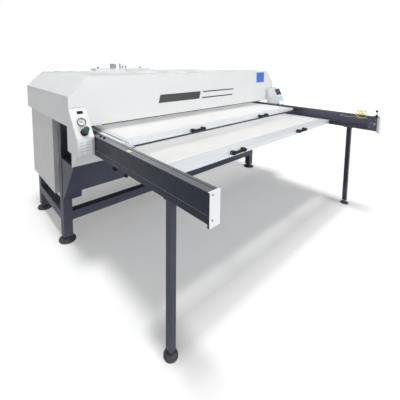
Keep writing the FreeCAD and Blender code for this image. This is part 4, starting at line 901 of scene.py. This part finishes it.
def tray_details(level):
    """Corner joints of the tray frame, bolts on the handle blocks and rubber bumpers at the back."""
    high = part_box(level + "_tray_frame")[1]
    pad_low, pad_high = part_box(level + "_tray_pad")
    handle_low, handle_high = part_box(level + "_tray_handles")
    body = level + "_tray"
    half = pad_high.x + 1 * MM
    outer = half + TRAY_BORDER
    top = pad_high.z - 3 * MM
    joints = bmesh.new()
    for side in (-1, 1):
        x0, x1 = sorted((side * half, side * outer))
        for y in (pad_low.y - 1 * MM, pad_high.y + 1 * MM):
            joint_low = (x0, y - 0.4 * MM, top - 0.5 * MM)
            soft_box(joints, joint_low, (x1, y + 0.4 * MM, top + 0.1 * MM), 0.08 * MM)
    place(from_bmesh(level + "_tray_joints", joints), "grey_ink", body)
    bolts = bmesh.new()
    z = (handle_low.z + handle_high.z) / 2
    for low_corner, high_corner in islands(NODES[level + "_tray_handles"]):
        for x, side in ((low_corner.x, -1), (high_corner.x, 1)):
            seat = panel_frame((x, high_corner.y - 14 * MM, z), (0, 0, 1), (0, -side, 0))
            lathe(bolts, [(5.2 * MM, -0.5 * MM), (5.2 * MM, 1.2 * MM), (4.4 * MM, 2.0 * MM)], 20, seat)
    place(from_bmesh(level + "_handle_bolts", bolts), "zinc", body)
    bumper = bmesh.new()
    for x0, x1 in ((-outer + 20 * MM, -outer + 60 * MM), (outer - 60 * MM, outer - 20 * MM)):
        soft_box(bumper, (x0, high.y - 0.5 * MM, top - 30 * MM), (x1, high.y + 5 * MM, top - 10 * MM), 2 * MM)
    place(from_bmesh(level + "_tray_bumpers", bumper), "rubber", body)


def upper_front_strip():
    """Dark strip low on the front face of the upper tray."""
    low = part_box("upper_tray_frame")[0]
    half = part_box("upper_tray_pad")[1].x + TRAY_BORDER
    strip = bmesh.new()
    soft_box(strip, (-half, low.y - 1.6 * MM, low.z + 1 * MM), (half, low.y, low.z + 15 * MM), 0.6 * MM)
    place(from_bmesh("upper_front_strip", strip), "rubber", "upper_tray")


def rail_details():
    """A label on the left rail, a thin line along each rail's outer face and the right end stop's latch."""
    low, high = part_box("left_rail")
    sticker = bmesh.new()
    soft_box(
        sticker, (low.x + 10 * MM, low.y + STICKER_BACK, high.z - 0.1 * MM),
        (low.x + 34 * MM, low.y + STICKER_BACK + 40 * MM, high.z + 0.4 * MM), 0.12 * MM)
    place(from_bmesh("rail_sticker", sticker), "straw_film", "machine")
    line = bmesh.new()
    for side in (-1, 1):
        x = -side * low.x
        x0, x1 = sorted((x - side * 1.3 * MM, x - side * 0.9 * MM))
        z = low.z + GROOVE_UP
        soft_box(line, (x0, low.y + 2 * MM, z), (x1, high.y - 2 * MM, z + 2 * MM), 0.1 * MM)
    place(from_bmesh("rail_groove_lines", line), "zinc", "machine")
    right_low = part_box("right_rail")[0]
    x, y, z = right_low
    latch = bmesh.new()
    soft_box(
        latch, (x - 14 * MM, y + 18 * MM, z + 65 * MM), (x - 6.2 * MM, y + 40 * MM, z + 90 * MM), 1.5 * MM)
    soft_box(
        latch, (x - 9 * MM, y + 56 * MM, z + 76 * MM), (x - 6.2 * MM, y + 70 * MM, z + 86 * MM), 0.8 * MM)
    place(from_bmesh("stop_latch", latch), "zinc", "machine")


def hood_seams():
    """Thin joint line between the top cover and each side cover."""
    low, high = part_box("top_cover")
    bm = bmesh.new()
    seam = 0.35 * MM
    for x in (-high.x, high.x):
        soft_box(
            bm, (x - seam, low.y + 1 * MM, low.z - seam), (x + seam, high.y - 1 * MM, low.z + seam), 0.1 * MM)
    place(from_bmesh("hood_seams", bm), "grey_ink", "machine")


def foot_details():
    """Hexagon nuts on the spindles of the levelling feet."""
    nuts = bmesh.new()
    for low, high in islands(NODES["levelling_feet"]):
        centre = (low + high) / 2
        main = high.x - low.x > 0.1
        radius = 0.026 if main else 0.017
        z = high.z - (12 * MM if main else 10 * MM)
        seat = Matrix.Translation((centre.x, centre.y, z))
        chamfer = radius * 0.93
        lathe(nuts, [(chamfer, 0.0), (radius, 1.2 * MM), (radius, 7 * MM), (chamfer, 8.2 * MM)], 6, seat)
    place(from_bmesh("foot_nuts", nuts), "zinc", "machine")


# -------- stage

FLOOR_REACH = 60.0
FLOOR_GLOW = 0.25            # brightness added to the open floor, seen by the camera only
# Painted light: the hood glow below is camera-only brightness that lifts the hood's shadow on the floor.
HOOD_GLOW = 0.20             # the same behind the machine's front, right of the middle
HOOD_GLOW_REACH = 0.45
SHADE_FRONT = 0.20           # strength of the floor shade at the legs
SHADE_BACK = 0.44            # and at the lower tray's front
WORLD_LIGHT = 0.31
SOFTBOX_POWER = 8.0

# Suns: strength, angular size in degrees and the direction the light comes from.
OVERHEAD = {"power": 2.15, "angle": 13.0, "from": (-0.05, -0.06, 1.0)}
FRONTAL = {"power": 1.50, "angle": 22.0, "from": (0.30, -0.93, 0.16)}
PAD_FILL = {"power": 1.62, "angle": 40.0, "from": (0.0, -0.2, 1.0)}
PAD_KEY = {"power": 0.75, "angle": 4.0, "from": (0.0, 0.70, 0.72)}
RIGHT_FILL = {"power": 1.30, "angle": 30.0, "from": (-0.80, -0.55, 0.15)}
SHOULDER_FILL = {"power": 0.70, "angle": 30.0, "from": (-0.95, -0.05, 0.25)}

# Pieces that a linked sun reaches or is shaded by.
RIGHT_SET = (
    "right_rail", "right_console", "tray_tracks", "yellow_air_coil", "rail_air_line", "left_label_plate",
    "left_label_bars")
PAD_SET = ("upper_felt_pad", "lower_felt_pad")
PAD_SHADERS = ("heated_platen", "front_seal", "upper_tray_frame", "upper_felt_pad", "upper_front_strip")

# Camera: place in metres, then yaw, pitch and roll in degrees.
CAMERA_AT = (-2.1973, -2.1466, 1.6402)
CAMERA_TURN = (40.222, 5.694, -0.286)
CAMERA_LENS = 24.612
CAMERA_SHIFT = (0.0600, -0.2757)


def floor_finish():
    """Pale floor with a soft shade painted between the support legs, a faint glow for the camera and painted light
    lifting the hood's shadow behind the front.
    """
    n = Nodes("studio_floor")
    n.shader.inputs["Roughness"].default_value = 0.9
    n.shader.inputs["Specular IOR Level"].default_value = 0.1
    tint = n.mix(n.span(n.noise(0.8, 4.0), 0.3, 0.7, 0.0, 1.0), (0.74, 0.74, 0.745), (0.76, 0.76, 0.76))
    split = n.add("ShaderNodeSeparateXYZ")
    n.link(n.coordinates, split.inputs[0])
    x, y = split.outputs["X"], split.outputs["Y"]
    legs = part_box("support_legs")[0]
    tray_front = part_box("lower_tray_frame")[0].y
    across = n.span(n.math("ABSOLUTE", x, 0.0), -legs.x - 0.03, -legs.x + 0.05, 1.0, 0.0)
    along = n.span(y, legs.y - 0.05, legs.y + 0.03, 0.0, 1.0)
    under = n.span(y, tray_front - 0.05, tray_front + 0.08, 1.0, 0.0)
    fade = n.span(y, legs.y, tray_front, SHADE_FRONT, SHADE_BACK)
    shade_mask = n.math("MULTIPLY", n.math("MULTIPLY", across, along), n.math("MULTIPLY", under, fade))
    tint = n.mix(shade_mask, tint, (0.0, 0.0, 0.0))
    n.link(tint, n.shader.inputs["Base Color"])
    n.shader.inputs["Emission Color"].default_value = (1.0, 1.0, 1.0, 1.0)
    seen = n.add("ShaderNodeLightPath").outputs["Is Camera Ray"]
    glow = n.span(shade_mask, 0.0, 1.0, FLOOR_GLOW, 0.0)
    # Painted light lifting the hood's shadow on the floor, right of the middle.
    under_hood = n.span(y, 0.0, HOOD_GLOW_REACH, 0.0, HOOD_GLOW)
    right_half = n.span(x, 0.15, HOOD_GLOW_REACH, 0.0, 1.0)
    hood_shadow_lift = n.math("MULTIPLY", under_hood, right_half)
    strength = n.math("ADD", glow, hood_shadow_lift)
    n.link(n.math("MULTIPLY", seen, strength), n.shader.inputs["Emission Strength"])
    return n.material


def object_group(name, members):
    group = bpy.data.collections.new(name)
    for member in members:
        group.objects.link(bpy.data.objects[member])
    return group


def link_light(lamp, names, include=True, blockers=None):
    """Limits a lamp to the named objects, or keeps it off them; the blockers alone throw its shadows."""
    group = object_group(lamp.name + "_receivers", names)
    if not include:
        for row in group.collection_objects:
            row.light_linking.link_state = "EXCLUDE"
    lamp.light_linking.receiver_collection = group
    if blockers:
        lamp.light_linking.blocker_collection = object_group(lamp.name + "_blockers", blockers)


def area_light(name, at, aim, width, height, power):
    data = bpy.data.lights.new(name, "AREA")
    data.shape = "RECTANGLE"
    data.size = width
    data.size_y = height
    data.energy = power
    obj = bpy.data.objects.new(name, data)
    obj.location = at
    obj.rotation_mode = "QUATERNION"
    obj.rotation_quaternion = (Vector(aim) - Vector(at)).to_track_quat("-Z", "Y")
    obj.visible_camera = False
    show(obj)


def sun_light(name, settings):
    sun = bpy.data.lights.new(name, "SUN")
    sun.energy = settings["power"]
    sun.angle = math.radians(settings["angle"])
    lamp = bpy.data.objects.new(name, sun)
    lamp.rotation_mode = "QUATERNION"
    lamp.rotation_quaternion = (-Vector(settings["from"])).to_track_quat("-Z", "Y")
    lamp.location = Vector(settings["from"]) * 6.0
    show(lamp)
    return lamp


def build_stage():
    """Pale floor, white surroundings, suns and one soft box."""
    mesh = bpy.data.meshes.new("floor")
    corners = [(x * FLOOR_REACH, y * FLOOR_REACH, 0) for x, y in ((-1, -1), (1, -1), (1, 1), (-1, 1))]
    mesh.from_pydata(corners, [], [(0, 1, 2, 3)])
    floor = bpy.data.objects.new("floor", mesh)
    floor.location.z = -0.5 * MM
    show(floor)
    mesh.materials.append(floor_finish())
    world = bpy.data.worlds.new("studio")
    world.use_nodes = True
    tree = world.node_tree
    background = tree.nodes["Background"]
    background.inputs[0].default_value = (1.0, 1.0, 1.0, 1.0)
    seen = tree.nodes.new("ShaderNodeLightPath").outputs["Is Camera Ray"]
    strength = tree.nodes.new("ShaderNodeMapRange")
    strength.inputs["To Min"].default_value = WORLD_LIGHT
    strength.inputs["To Max"].default_value = 1.0
    tree.links.new(seen, strength.inputs["Value"])
    tree.links.new(strength.outputs[0], background.inputs[1])
    bpy.context.scene.world = world
    link_light(sun_light("overhead", OVERHEAD), PAD_SET, include=False)
    sun_light("frontal", FRONTAL)
    link_light(sun_light("pad_fill", PAD_FILL), PAD_SET, blockers=PAD_SET)
    link_light(sun_light("pad_key", PAD_KEY), PAD_SET, blockers=PAD_SHADERS)
    link_light(sun_light("shoulder_fill", SHOULDER_FILL), ("top_cover",))
    link_light(sun_light("right_fill", RIGHT_FILL), RIGHT_SET, blockers=RIGHT_SET)
    area_light("softbox", (0.9, 1.9, 3.0), (0.6, 1.2, 0.0), 3.6, 2.6, SOFTBOX_POWER)
    bpy.context.scene.view_settings.view_transform = "Standard"


def build_camera():
    """Stands front left of the machine at standing eye height, looking slightly down."""
    yaw, pitch, roll = (math.radians(angle) for angle in CAMERA_TURN)
    forward = Vector((math.sin(yaw) * math.cos(pitch), math.cos(yaw) * math.cos(pitch), -math.sin(pitch)))
    right = Vector((math.cos(yaw), -math.sin(yaw), 0.0))
    down = forward.cross(right)
    right_rolled = right * math.cos(roll) + down * math.sin(roll)
    down_rolled = down * math.cos(roll) - right * math.sin(roll)
    data = bpy.data.cameras.new("camera")
    camera = bpy.data.objects.new("camera", data)
    matrix = Matrix((right_rolled, -down_rolled, -forward)).transposed().to_4x4()
    matrix.translation = Vector(CAMERA_AT)
    camera.matrix_world = matrix
    data.sensor_width = 36.0
    data.lens = CAMERA_LENS
    data.shift_x, data.shift_y = CAMERA_SHIFT
    data.clip_start = 0.05
    data.clip_end = 200.0
    show(camera)
    bpy.context.scene.camera = camera


# -------- assembly

dress_cad()
RAIL_END_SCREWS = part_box("left_rail")[0].y + 0.096
COVER_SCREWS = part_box("front_cover")[0].z + 5 * MM
repaint("screws_and_bolts", "zinc", lambda face: face.center.y < RAIL_END_SCREWS)
repaint("screws_and_bolts", "white_powder", lambda face: face.center.z > COVER_SCREWS)
for rail in ("left_rail", "right_rail"):
    repaint(rail, "rail_top", lambda face: face.normal.z > 0.9 and face.center.z > RAIL_TOP - 1 * MM)
# Painted light and shade: the same track faces take a different finish on each side, the pale tray finish on the
# left track and a lighter copy of the rail finish on the right one, following how each side is lit.
repaint("tray_tracks", "tray_aluminium", lambda face: face.center.x < 0 and face.normal.z > 0.9)
repaint("tray_tracks", "rail_face_painted_light",
        lambda face: face.center.x > 0 and (face.normal.z > 0.9 or face.normal.x < -0.9))
# Painted light: the right rail's inner face takes the lighter copy of the rail finish.
repaint("right_rail", "rail_face_painted_light", lambda face: face.normal.x < -0.9)
repaint("rail_end_caps", "rail_face", lambda face: face.center.x < 0 and face.normal.x < -0.9)
for pad_level in ("upper", "lower"):
    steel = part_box(pad_level + "_tray_pad")[1].x + TRAY_BORDER + 2 * MM
    repaint(pad_level + "_tray_frame", "bare_steel", lambda face, edge=steel: abs(face.center.x) > edge)
for pad_level in ("upper", "lower"):
    soft_pad(pad_level)
    tray_details(pad_level)
wool_blanket()
coiled_hose()
front_graphics()
gauge_dial()
left_console_details()
right_console_details()
screw_recesses()
front_seal()
weld_seams()
upper_front_strip()
rail_details()
hood_seams()
foot_details()
build_stage()
build_camera()
